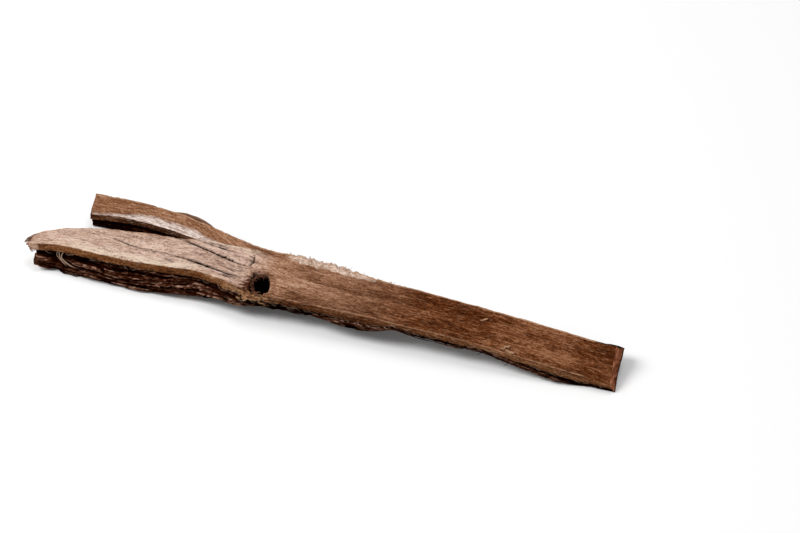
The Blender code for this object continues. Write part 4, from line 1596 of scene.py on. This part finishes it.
class Bench:
    """Places nodes in one node tree and links them."""

    def __init__(self, tree: NodeTree) -> None:
        """Work on this tree."""
        self.tree = tree

    def feed(self, socket: NodeSocket, value: Value) -> None:
        """Link a socket to an output, or set its number or colour.

        Args:
            socket: The socket that is fed.
            value: An output, a number or a colour.
        """
        if isinstance(value, NodeSocket):
            self.tree.links.new(value, socket)
        elif isinstance(value, tuple) and socket.type == "RGBA" and len(value) == 3:
            socket.default_value = (*value, 1.0)
        else:
            socket.default_value = value

    def add(self, kind: str, inputs: dict[Any, Value], **settings: Any) -> Node:
        """Add a node.

        Args:
            kind: Its Blender type, without ShaderNode in front.
            inputs: What feeds its inputs, by name or number.
            **settings: Its own settings.

        Returns:
            The node.
        """
        node = self.tree.nodes.new("ShaderNode" + kind)
        for name, value in settings.items():
            setattr(node, name, value)
        for key, value in inputs.items():
            self.feed(node.inputs[key], value)
        return node

    def math(self, operation: str, first: Value, second: Value) -> NodeSocket:
        """One sum of two values."""
        return self.add("Math", {0: first, 1: second}, operation=operation).outputs[0]

    def times(self, first: Value, second: Value) -> NodeSocket:
        """The product of two values."""
        return self.math("MULTIPLY", first, second)

    def weigh(self, start: float, parts: Iterable[tuple[Value, float]]) -> NodeSocket:
        """Add up weighted values.

        Args:
            start: What the sum starts from.
            parts: Each value and its weight.

        Returns:
            The sum.
        """
        total: Value = start
        for value, weight in parts:
            total = self.add("Math", {0: value, 1: weight, 2: total}, operation="MULTIPLY_ADD").outputs[0]
        return total

    def stretch(self, place: Value, scale: Value) -> NodeSocket:
        """A place with each of its three numbers scaled."""
        return self.add("VectorMath", {0: place, 1: scale}, operation="MULTIPLY").outputs[0]

    def speckle(self, place: Value, detail: float, roughness: float, **more: float) -> Node:
        """Noise at a place, one unit in pitch unless more says otherwise."""
        inputs = {"Vector": place, "Scale": 1.0, "Detail": detail, "Roughness": roughness}
        return self.add("TexNoise", {**inputs, **more})

    def blend(self, share: Value, low: Value, high: Value) -> NodeSocket:
        """Mix two colours.

        Args:
            share: How far from low to high.
            low: The colour at 0.
            high: The colour at 1.

        Returns:
            The mixed colour.
        """
        node = self.add("Mix", {}, data_type="RGBA")
        for index, value in ((0, share), (6, low), (7, high)):
            self.feed(node.inputs[index], value)
        return node.outputs[2]

    def window(self, value: Value, low: Value, high: Value) -> NodeSocket:
        """The value spread so that low is 0 and high is 1, smoothly."""
        inputs = {0: value, 1: low, 2: high, 3: 0.0, 4: 1.0}
        return self.add("MapRange", inputs, interpolation_type="SMOOTHSTEP").outputs[0]

    def ramp(self, value: Value, stops: Ramp) -> NodeSocket:
        """Read a colour off a row of colour stops.

        Args:
            value: Where to read it, from 0 to 1.
            stops: Each stop's position and colour.

        Returns:
            The colour.
        """
        node = self.add("ValToRGB", {0: value})
        elements = node.color_ramp.elements
        while len(elements) < len(stops):
            elements.new(0.5)
        for element, (position, colour) in zip(elements, stops):
            element.position = position
            element.color = (*colour, 1.0)
        return node.outputs[0]

    def attribute(self, name: str, output: str = "Fac") -> NodeSocket:
        """What one of the piece's attributes says."""
        return self.add("Attribute", {}, attribute_name=name).outputs[output]

    def mark(self, mark: Mark) -> NodeSocket:
        """The value of one of the strip's marks."""
        return self.attribute(mark.value)

    def group(self, tree: NodeTree, **inputs: Value) -> Node:
        """Place a shader node group with its own values.

        Args:
            tree: The group.
            **inputs: What feeds its inputs, by name.

        Returns:
            The group's node.
        """
        node = self.tree.nodes.new("ShaderNodeGroup")
        node.node_tree = tree
        for name, value in inputs.items():
            self.feed(node.inputs[name], value)
        return node


def new_group(
    name: str, inputs: dict[str, float], outputs: Sequence[str]
) -> tuple[NodeTree, Bench, Node, Node]:
    """Start a shader node group that reads a place and some numbers, and puts out masks or heights.

    Args:
        name: The group's name.
        inputs: Each number it reads, with its default.
        outputs: What it puts out.

    Returns:
        The group, a bench on it, its input node and its output node.
    """
    tree = bpy.data.node_groups.new(name, "ShaderNodeTree")
    tree.interface.new_socket(name="Place", in_out="INPUT", socket_type="NodeSocketVector")
    for label, default in inputs.items():
        socket = tree.interface.new_socket(name=label, in_out="INPUT", socket_type="NodeSocketFloat")
        socket.default_value = default
    for label in outputs:
        tree.interface.new_socket(name=label, in_out="OUTPUT", socket_type="NodeSocketFloat")
    return tree, Bench(tree), tree.nodes.new("NodeGroupInput"), tree.nodes.new("NodeGroupOutput")


@functools.cache
def fibre_streaks() -> NodeTree:
    """Streaks of fibre: noise drawn out along the grain, at two pitches, with its contrast raised.

    Returns:
        The group, with Streaks and Height outputs.
    """
    tree, bench, source, result = new_group(
        "bark fibres", {"Length": 8.0, "Pitch": 0.4, "Contrast": 0.3}, ("Streaks", "Height")
    )
    along = bench.math("DIVIDE", 1.0, source.outputs["Length"])
    across = bench.math("DIVIDE", 1.0, source.outputs["Pitch"])
    scale = bench.add("CombineXYZ", {0: along, 1: across, 2: across}).outputs[0]
    spread = bench.stretch(source.outputs["Place"], scale)
    fine = bench.speckle(spread, 3.0, 0.62, Distortion=0.25).outputs[0]
    half = bench.stretch(spread, (0.37, 0.37, 0.37))
    broad = bench.speckle(half, 2.0, 0.5).outputs[0]
    both = bench.weigh(0.0, ((fine, 0.62), (broad, 0.38)))
    low = bench.math("SUBTRACT", 0.5, source.outputs["Contrast"])
    high = bench.math("ADD", 0.5, source.outputs["Contrast"])
    bench.feed(result.inputs["Streaks"], bench.window(both, low, high))
    bench.feed(result.inputs["Height"], fine)
    return tree


@functools.cache
def bark_crust() -> NodeTree:
    """The crust of outer bark: small cracked plates with dark gaps, longer along the grain than across.

    Returns:
        The group, with Plates and Height outputs.
    """
    tree, bench, source, result = new_group("bark crust", {"Size": 2.0}, ("Plates", "Height"))
    size = bench.math("DIVIDE", 1.0, source.outputs["Size"])
    scale = bench.add("CombineXYZ", {0: bench.times(size, 0.35), 1: size, 2: size}).outputs[0]
    spread = bench.stretch(source.outputs["Place"], scale)
    warp = bench.speckle(spread, 4.0, 0.65, Scale=1.6)
    pushed = {0: warp.outputs[1], 1: (0.9, 0.9, 0.9), 2: spread}
    bent = bench.add("VectorMath", pushed, operation="MULTIPLY_ADD").outputs[0]
    plates = bench.add("TexVoronoi", {"Vector": bent, "Scale": 1.0}, feature="DISTANCE_TO_EDGE")
    gaps = bench.window(plates.outputs["Distance"], 0.0, 0.22)
    bench.feed(result.inputs["Plates"], gaps)
    bench.feed(result.inputs["Height"], bench.weigh(0.0, ((gaps, 0.5), (warp.outputs[0], 0.6))))
    return tree


def new_material(name: str) -> tuple[Material, Bench, Node]:
    """A material with its Principled shader.

    Args:
        name: The material's name.

    Returns:
        The material, a bench on its tree, and its shader.
    """
    material = bpy.data.materials.new(name)
    material.use_nodes = True
    return material, Bench(material.node_tree), material.node_tree.nodes["Principled BSDF"]


@dataclass(frozen=True)
class Feel:
    """How a surface feels: how rough and how shiny it is, and how far its bump stands up, in metres."""

    roughness: float
    shine: float
    bump: float
    bump_height: float

    def give(self, bench: Bench, shader: Node, colour: Value, height: Value) -> None:
        """Give a shader its colour and its feel.

        Args:
            bench: The material's bench.
            shader: Its shader.
            colour: The surface's colour.
            height: The height of its bump.
        """
        bench.feed(shader.inputs["Base Color"], colour)
        shader.inputs["Roughness"].default_value = self.roughness
        shader.inputs["Specular IOR Level"].default_value = self.shine
        relief = {"Strength": self.bump, "Distance": self.bump_height, "Height": height}
        bench.feed(shader.inputs["Normal"], bench.add("Bump", relief).outputs[0])


class Grain:
    """The strip's grain: places, streaks, plates, patches, the tone they make, and the colour laid over them."""

    def __init__(self, bench: Bench) -> None:
        """Place the grain's nodes on a bench.

        Args:
            bench: The material's bench.
        """
        self.bench = bench
        self.colour: Value = (0.0, 0.0, 0.0)
        self.place = bench.attribute(GRAIN, "Vector")
        self.along = bench.add("SeparateXYZ", {0: self.place}).outputs[0]
        self.flank = bench.mark(Mark.FLANK)
        self.fine = bench.group(fibre_streaks(), Place=self.place, Length=1.7, Pitch=0.3, Contrast=0.17)
        self.medium = bench.group(fibre_streaks(), Place=self.place, Length=7.5, Pitch=0.8, Contrast=0.18)
        self.crust = bench.group(bark_crust(), Place=self.place, Size=1.7)
        self.patches = bench.speckle(bench.stretch(self.place, (0.04, 0.17, 0.17)), 3.0, 0.55).outputs[0]
        self.grit = bench.speckle(bench.stretch(self.place, (1.2, 2.6, 2.6)), 1.5, 0.6).outputs[0]
        lighter = bench.times(bench.window(self.along, 46.0, 62.0), bench.window(self.along, 94.0, 80.0))
        self.tone = bench.weigh(-0.84, (
            (self.fine.outputs["Streaks"], 0.5), (self.medium.outputs["Streaks"], 0.24), (self.patches, 0.95),
            (self.grit, 1.0), (lighter, 0.2),
        ))

    def lay(self, share: Value, colour: Value) -> None:
        """Lay a share of one more colour over the strip's colour so far."""
        self.colour = self.bench.blend(share, self.colour, colour)

    def height(self) -> Value:
        """The height of the bump: fibres on the upper side and the band, crust on the outer bark.

        Returns:
            The height.
        """
        fine, medium = self.fine.outputs["Height"], self.medium.outputs["Height"]
        smooth = self.bench.weigh(0.0, ((fine, 0.8), (medium, 0.9), (self.grit, 0.5)))
        crusty = self.bench.weigh(0.0, ((self.crust.outputs["Height"], 2.0), (fine, 1.0)))
        outside = self.bench.window(self.flank, 0.3, 0.45)
        return self.bench.add("Mix", {0: outside, 2: smooth, 3: crusty}).outputs[0]


@dataclass(frozen=True)
class BarkFinish:
    """The strip's own finish: smooth inner bark, weathered arm, firm band, shaggy outer bark, sawn ends."""

    feel: Feel = Feel(0.82, 0.0, 0.9, 0.0005)
    body: Ramp = (
        (0.0, (0.011, 0.002, 0.001)), (0.35, (0.058, 0.0135, 0.003)),
        (0.65, (0.142, 0.044, 0.014)), (1.0, (0.33, 0.145, 0.07)),
    )
    # Paler tan laid towards the knot: partly the bark's own tan, partly painted light.
    tan: Ramp = (
        (0.0, (0.085, 0.03, 0.013)), (0.35, (0.25, 0.115, 0.06)),
        (0.65, (0.42, 0.225, 0.135)), (1.0, (0.62, 0.41, 0.285)),
    )
    weathered: Ramp = (
        (0.0, (0.16, 0.082, 0.058)), (0.3, (0.4, 0.25, 0.187)),
        (0.6, (0.61, 0.425, 0.335)), (1.0, (0.82, 0.64, 0.54)),
    )
    far_arm: Ramp = (
        (0.0, (0.06, 0.018, 0.007)), (0.35, (0.185, 0.075, 0.034)),
        (0.65, (0.31, 0.15, 0.08)), (1.0, (0.5, 0.3, 0.19)),
    )
    band: Ramp = (
        (0.0, (0.02, 0.006, 0.002)), (0.4, (0.085, 0.03, 0.011)),
        (0.75, (0.19, 0.08, 0.034)), (1.0, (0.34, 0.175, 0.09)),
    )
    ochre: Ramp = (
        (0.0, (0.04, 0.011, 0.003)), (0.35, (0.11, 0.036, 0.011)),
        (0.7, (0.205, 0.085, 0.033)), (1.0, (0.42, 0.25, 0.14)),
    )
    # Near black at the low end: partly the outer bark's own dark brown, partly painted shade, kept dark against
    # the floor's bounce light.
    outer: Ramp = (
        (0.0, (0.002, 0.0004, 0.0002)), (0.4, (0.011, 0.002, 0.001)),
        (0.7, (0.052, 0.014, 0.005)), (1.0, (0.23, 0.115, 0.072)),
    )
    sawn: Ramp = ((0.0, (0.12, 0.032, 0.014)), (0.5, (0.35, 0.115, 0.054)), (1.0, (0.6, 0.28, 0.16)))
    torn: Ramp = ((0.0, (0.13, 0.06, 0.036)), (0.45, (0.42, 0.25, 0.17)), (1.0, (0.72, 0.54, 0.44)))
    bevel: Ramp = ((0.0, (0.28, 0.17, 0.13)), (0.45, (0.6, 0.47, 0.41)), (1.0, (0.88, 0.79, 0.74)))
    frayed: tuple[Colour, Colour] = ((0.44, 0.28, 0.2), (0.76, 0.59, 0.48))
    # The colours that the long edges of the upper side are painted paler with.
    pale_edge: tuple[Colour, Colour] = ((0.33, 0.15, 0.075), (0.58, 0.36, 0.23))
    layered: tuple[Colour, Colour] = ((0.042, 0.014, 0.006), (0.2, 0.08, 0.036))
    underside: tuple[Colour, Colour] = ((0.03, 0.017, 0.012), (0.26, 0.2, 0.155))
    cream: Colour = (0.78, 0.64, 0.5)
    light_fibre: Colour = (0.74, 0.44, 0.26)
    speck: Colour = (0.055, 0.022, 0.013)
    lump: Colour = (0.4, 0.225, 0.115)
    # The torn wood left of the knot pit, darkened partly as painted shade.
    scar: Colour = (0.05, 0.013, 0.007)
    # The near black of the painted shade in the hollows.
    hollow: Colour = (0.002, 0.001, 0.001)

    def upper_side(self, grain: Grain) -> None:
        """Colour the smooth upper side, from the reddish body to the weathered near arm.

        Args:
            grain: The strip's grain.
        """
        bench = grain.bench
        grain.colour = bench.ramp(grain.tone, self.body)
        # Paler tan towards the knot in patches: partly the bark's own tan, partly painted light that stands in for
        # the lamp falling off to the right.
        towards_knot = bench.times(bench.window(grain.along, 40.0, -14.0), bench.window(grain.patches, 0.22, 0.52))
        layers = (
            (towards_knot, self.tan), (bench.mark(Mark.FAR_ARM), self.far_arm),
            (bench.mark(Mark.WEATHERED), self.weathered),
        )
        for share, ramp in layers:
            grain.lay(share, bench.ramp(grain.tone, ramp))

    def specks(self, grain: Grain) -> None:
        """Strew short dark specks and short pale fibres over the upper side.

        Args:
            grain: The strip's grain.
        """
        bench = grain.bench
        dots = bench.speckle(bench.stretch(grain.place, (0.75, 2.3, 2.3)), 2.0, 0.65).outputs[0]
        grain.lay(bench.times(bench.window(dots, 0.585, 0.69), 0.8), self.speck)
        fibres = bench.speckle(bench.stretch(grain.place, (0.3, 2.9, 2.9)), 1.0, 0.5).outputs[0]
        light = bench.blend(0.4, grain.colour, self.light_fibre)
        grain.lay(bench.times(bench.window(fibres, 0.59, 0.72), 0.42), light)

    def rims(self, grain: Grain) -> None:
        """Add the pale crumbly rim, the pale long edges, the torn bevel and the cream strips.

        Args:
            grain: The strip's grain.
        """
        bench, tone, streaks = grain.bench, grain.tone, grain.fine.outputs["Streaks"]
        rim = bench.times(bench.window(bench.mark(Mark.RIM), 0.2, 0.6), bench.window(tone, 0.0, 0.22))
        grain.lay(rim, bench.blend(bench.window(streaks, 0.2, 0.8), *self.frayed))
        # The long edges of the upper side are painted paler, in streaks.
        pale_edge = bench.times(bench.window(bench.mark(Mark.EDGE), 0.3, 0.95), bench.window(tone, 0.0, 0.4))
        grain.lay(bench.times(pale_edge, 0.9), bench.blend(streaks, *self.pale_edge))
        grain.lay(bench.mark(Mark.BEVEL), bench.ramp(streaks, self.bevel))
        cream = bench.times(bench.mark(Mark.CREAM), bench.window(tone, 0.15, 0.5))
        grain.lay(bench.times(cream, 0.7), self.cream)

    def firm_band(self, grain: Grain, lump: Value) -> Value:
        """The colour of the firm band under the upper side.

        Args:
            grain: The strip's grain.
            lump: How much of the lump below the knot pit there is.

        Returns:
            The band's colour.
        """
        bench, tone = grain.bench, grain.tone
        plain_band = bench.ramp(tone, self.band)
        band = bench.blend(bench.window(grain.along, -12.0, -44.0), plain_band, bench.ramp(tone, self.ochre))
        deeper = bench.weigh(0.08, ((grain.flank, 1.0), (tone, -0.16)))
        band = bench.blend(bench.times(bench.window(deeper, 0.19, 0.3), 0.85), band, plain_band)
        band = bench.blend(bench.times(lump, bench.window(tone, 0.3, 0.8)), band, self.lump)
        layer = bench.blend(bench.window(tone, 0.35, 0.95), *self.layered)
        return bench.blend(bench.mark(Mark.FAR_ARM), band, layer)

    def outer_bark(self, grain: Grain, lump: Value) -> Value:
        """The colour of the outer bark under the band, and of the underside, with painted shade in its furrows and
        a painted highlight on its ledges.

        Args:
            grain: The strip's grain.
            lump: How much of the lump below the knot pit there is.

        Returns:
            The outer bark's colour.
        """
        bench, tone = grain.bench, grain.tone
        # Painted shade and highlight: darker where the outer bark sinks, lighter where it stands out.
        height = bench.weigh(-0.12, ((bench.mark(Mark.RIDGE), 0.62), (tone, 0.42)))
        crusty = bench.times(height, bench.weigh(0.6, ((grain.crust.outputs["Plates"], 0.45),)))
        outer = bench.ramp(crusty, self.outer)
        outer = bench.blend(bench.times(lump, bench.window(tone, 0.42, 0.75)), outer, self.lump)
        return bench.blend(bench.window(grain.flank, 0.93, 0.985), outer, bench.blend(crusty, *self.underside))

    def ends(self, grain: Grain) -> None:
        """Show the torn tip, and the bark's layers on the sawn and cut ends.

        Args:
            grain: The strip's grain.
        """
        bench, flank = grain.bench, grain.flank
        torn = bench.times(bench.mark(Mark.TORN), bench.window(grain.grit, 0.3, 0.5))
        shaded = bench.times(grain.tone, bench.window(flank, 1.3, 0.1))
        grain.lay(torn, bench.ramp(shaded, self.torn))
        layered = bench.stretch(grain.place, (1.0, 0.15, 1.4))
        layers = bench.group(fibre_streaks(), Place=layered, Length=1.2, Pitch=0.5, Contrast=0.18)
        on_left = bench.window(grain.along, 0.0, -50.0)
        sawn = bench.weigh(0.0, ((layers.outputs["Streaks"], 1.0), (flank, -0.2), (on_left, -0.45)))
        sawn = bench.blend(bench.window(flank, 0.8, 0.9), bench.ramp(sawn, self.sawn), self.layered[0])
        grain.lay(bench.window(bench.mark(Mark.SAWN), 0.4, 0.7), sawn)

    def material(self) -> Material:
        """Build the finish from the strip's grain and marks.

        Returns:
            The material.
        """
        material, bench, shader = new_material("inner and outer bark")
        grain = Grain(bench)
        flank, along = grain.flank, grain.along
        self.upper_side(grain)
        self.specks(grain)
        self.rims(grain)
        # The dark torn wood left of the knot pit, partly painted shade of its ragged cavity.
        grain.lay(bench.mark(Mark.SCAR), self.scar)
        lump = bench.times(bench.window(along, -31.0, -25.0), bench.window(along, -6.0, -13.0))
        lump = bench.times(lump, bench.window(flank, 0.78, 0.5))
        grain.lay(bench.window(flank, 0.03, 0.08), self.firm_band(grain, lump))
        grain.lay(bench.window(flank, 0.32, 0.42), self.outer_bark(grain, lump))
        self.ends(grain)
        # Painted shade: the cracks, the knot pit, the checks and the slit are painted near black.
        grain.lay(bench.window(bench.mark(Mark.HOLLOW), 0.0, 0.8), self.hollow)
        self.feel.give(bench, shader, grain.colour, grain.height())
        return material


class Strand(Enum):
    """The colours that loose fibres come in: their dark and their light tone."""

    PALE = ((0.55, 0.38, 0.29), (0.92, 0.78, 0.68))
    CHIP = ((0.22, 0.1, 0.05), (0.62, 0.38, 0.22))
    TAN = ((0.12, 0.055, 0.03), (0.46, 0.32, 0.23))
    RED = ((0.045, 0.012, 0.006), (0.26, 0.105, 0.058))
    BROWN = ((0.11, 0.05, 0.028), (0.36, 0.2, 0.125))


@dataclass(frozen=True)
class FibreFinish:
    """The finish of loose dry fibres."""

    strand: Strand
    feel: Feel = Feel(0.8, 0.15, 0.5, 0.0002)

    def material(self) -> Material:
        """Build the finish from each fibre's own tone.

        Returns:
            The material.
        """
        material, bench, shader = new_material(f"{self.strand.name.lower()} fibres")
        place = bench.attribute(GRAIN, "Vector")
        tone = bench.attribute(TONE)
        streaks = bench.group(fibre_streaks(), Place=place, Length=2.0, Pitch=0.2, Contrast=0.25)
        share = bench.weigh(0.0, ((tone, 0.65), (streaks.outputs["Streaks"], 0.35)))
        self.feel.give(bench, shader, bench.blend(share, *self.strand.value), streaks.outputs["Height"])
        return material


@dataclass(frozen=True)
class FlakeFinish:
    """The finish of the dark flakes of outer bark, whose near black is partly painted shade."""

    # Near black at the low end: partly the flakes' own dark brown, partly painted shade.
    layers: Ramp = (
        (0.0, (0.0015, 0.0003, 0.0001)), (0.25, (0.011, 0.0016, 0.0006)), (0.5, (0.039, 0.0095, 0.0035)),
        (0.75, (0.13, 0.057, 0.034)), (1.0, (0.33, 0.19, 0.135)),
    )
    feel: Feel = Feel(0.92, 0.0, 0.8, 0.0004)

    def material(self) -> Material:
        """Build the finish from each flake's own tone and the shared crust.

        Returns:
            The material.
        """
        material, bench, shader = new_material("outer bark flakes")
        place = bench.attribute(GRAIN, "Vector")
        tone = bench.attribute(TONE)
        streaks = bench.group(fibre_streaks(), Place=place, Length=6.0, Pitch=0.35, Contrast=0.2)
        crust = bench.group(bark_crust(), Place=place, Size=1.2)
        # The tone, which on the outer coat carries its painted shade and highlight, lightened along the streaks.
        dry = bench.times(tone, bench.weigh(0.45, ((streaks.outputs["Streaks"], 0.85),)))
        share = bench.times(dry, bench.weigh(0.6, ((crust.outputs["Plates"], 0.4),)))
        height = bench.math("ADD", streaks.outputs["Height"], crust.outputs["Height"])
        self.feel.give(bench, shader, bench.ramp(share, self.layers), height)
        return material


@dataclass(frozen=True)
class Stand:
    """Holds a lamp or a camera that looks at a point, in metres. Its angles are in degrees from the front."""

    azimuth: float
    elevation: float
    distance: float
    aim: tuple[float, float, float] = (0.0, 0.0, 0.0)

    def hold(self, name: str, data: Any) -> Object:
        """Put a lamp or a camera on the stand.

        Args:
            name: Its name.
            data: The lamp or the camera.

        Returns:
            Its object.
        """
        turn, rise = math.radians(self.azimuth), math.radians(self.elevation)
        level = math.cos(rise)
        away = Vector((math.sin(turn) * level, -math.cos(turn) * level, math.sin(rise)))
        holder = bpy.data.objects.new(name, data)
        holder.location = Vector(self.aim) + away * self.distance
        holder.rotation_euler = away.to_track_quat("Z", "Y").to_euler()
        bpy.context.scene.collection.objects.link(holder)
        return holder


@dataclass
class Studio:
    """The pale floor, the soft square lights and the camera. A light has its size in metres and its watts."""

    eye: Stand = Stand(21.3, 38.0, 0.6344, (0.0166, 0.02665, 0.0))
    lights: tuple[tuple[str, Stand, float, float], ...] = (
        ("key", Stand(-62, 46, 1.5), 0.7, 19.0), ("top", Stand(160, 66, 1.6), 0.9, 6.0),
    )
    lens: float = 85.0
    sensor: float = 36.0
    nearest: float = 0.01
    floor_half: float = 3.0
    floor_drop: float = 0.0002
    floor_colour: Colour = (0.9, 0.9, 0.9)
    floor_roughness: float = 0.9
    sky: float = 0.42

    def floor(self) -> None:
        """Lay a plain pale floor under the strip, which isn't part of it."""
        shape = bmesh.new()
        bmesh.ops.create_grid(shape, x_segments=2, y_segments=2, size=self.floor_half)
        bmesh.ops.translate(shape, vec=(0, 0, -self.floor_drop), verts=shape.verts[:])
        mesh = bpy.data.meshes.new("floor")
        shape.to_mesh(mesh)
        shape.free()
        material, bench, shader = new_material("pale floor")
        bench.feed(shader.inputs["Base Color"], self.floor_colour)
        shader.inputs["Roughness"].default_value = self.floor_roughness
        mesh.materials.append(material)
        floor = bpy.data.objects.new("floor", mesh)
        bpy.context.scene.collection.objects.link(floor)

    def light(self) -> None:
        """Light the strip with the soft lamps and an even pale sky."""
        for name, stand, size, power in self.lights:
            lamp = bpy.data.lights.new(name, "AREA")
            lamp.shape = "SQUARE"
            lamp.size = size
            lamp.energy = power
            stand.hold(name, lamp)
        world = bpy.data.worlds.new("studio")
        world.use_nodes = True
        sky = world.node_tree.nodes["Background"]
        sky.inputs["Color"].default_value = (1.0, 1.0, 1.0, 1.0)
        sky.inputs["Strength"].default_value = self.sky
        bpy.context.scene.world = world
        bpy.context.scene.view_settings.view_transform = "Standard"

    def camera(self) -> None:
        """Add the camera at the photograph's viewing angle."""
        lens = bpy.data.cameras.new("camera")
        lens.lens = self.lens
        lens.sensor_width = self.sensor
        lens.clip_start = self.nearest
        bpy.context.scene.camera = self.eye.hold("camera", lens)

    def build(self) -> None:
        """Set up the floor, the lights and the camera."""
        self.floor()
        self.light()
        self.camera()


def main() -> None:
    """Load the part, dress it, and set up the studio."""
    logging.basicConfig(level=logging.INFO, format="%(name)s: %(message)s")
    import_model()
    form = BarkForm()
    strip = BarkStrip(form).build()
    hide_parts(NODE)
    dressings = (
        RimFibres(form), EdgeFibres(form), KnotFibres(form), HangingStrands(), SprungSliver(), OuterCoat(form),
        SurfaceChips(form), BarkFlakes(form),
    )
    for piece in (strip, *(dressing.build() for dressing in dressings)):
        log.info("%s: %d faces", piece.name, len(piece.data.polygons))
    Studio().build()


if __name__ == "__main__":
    main()
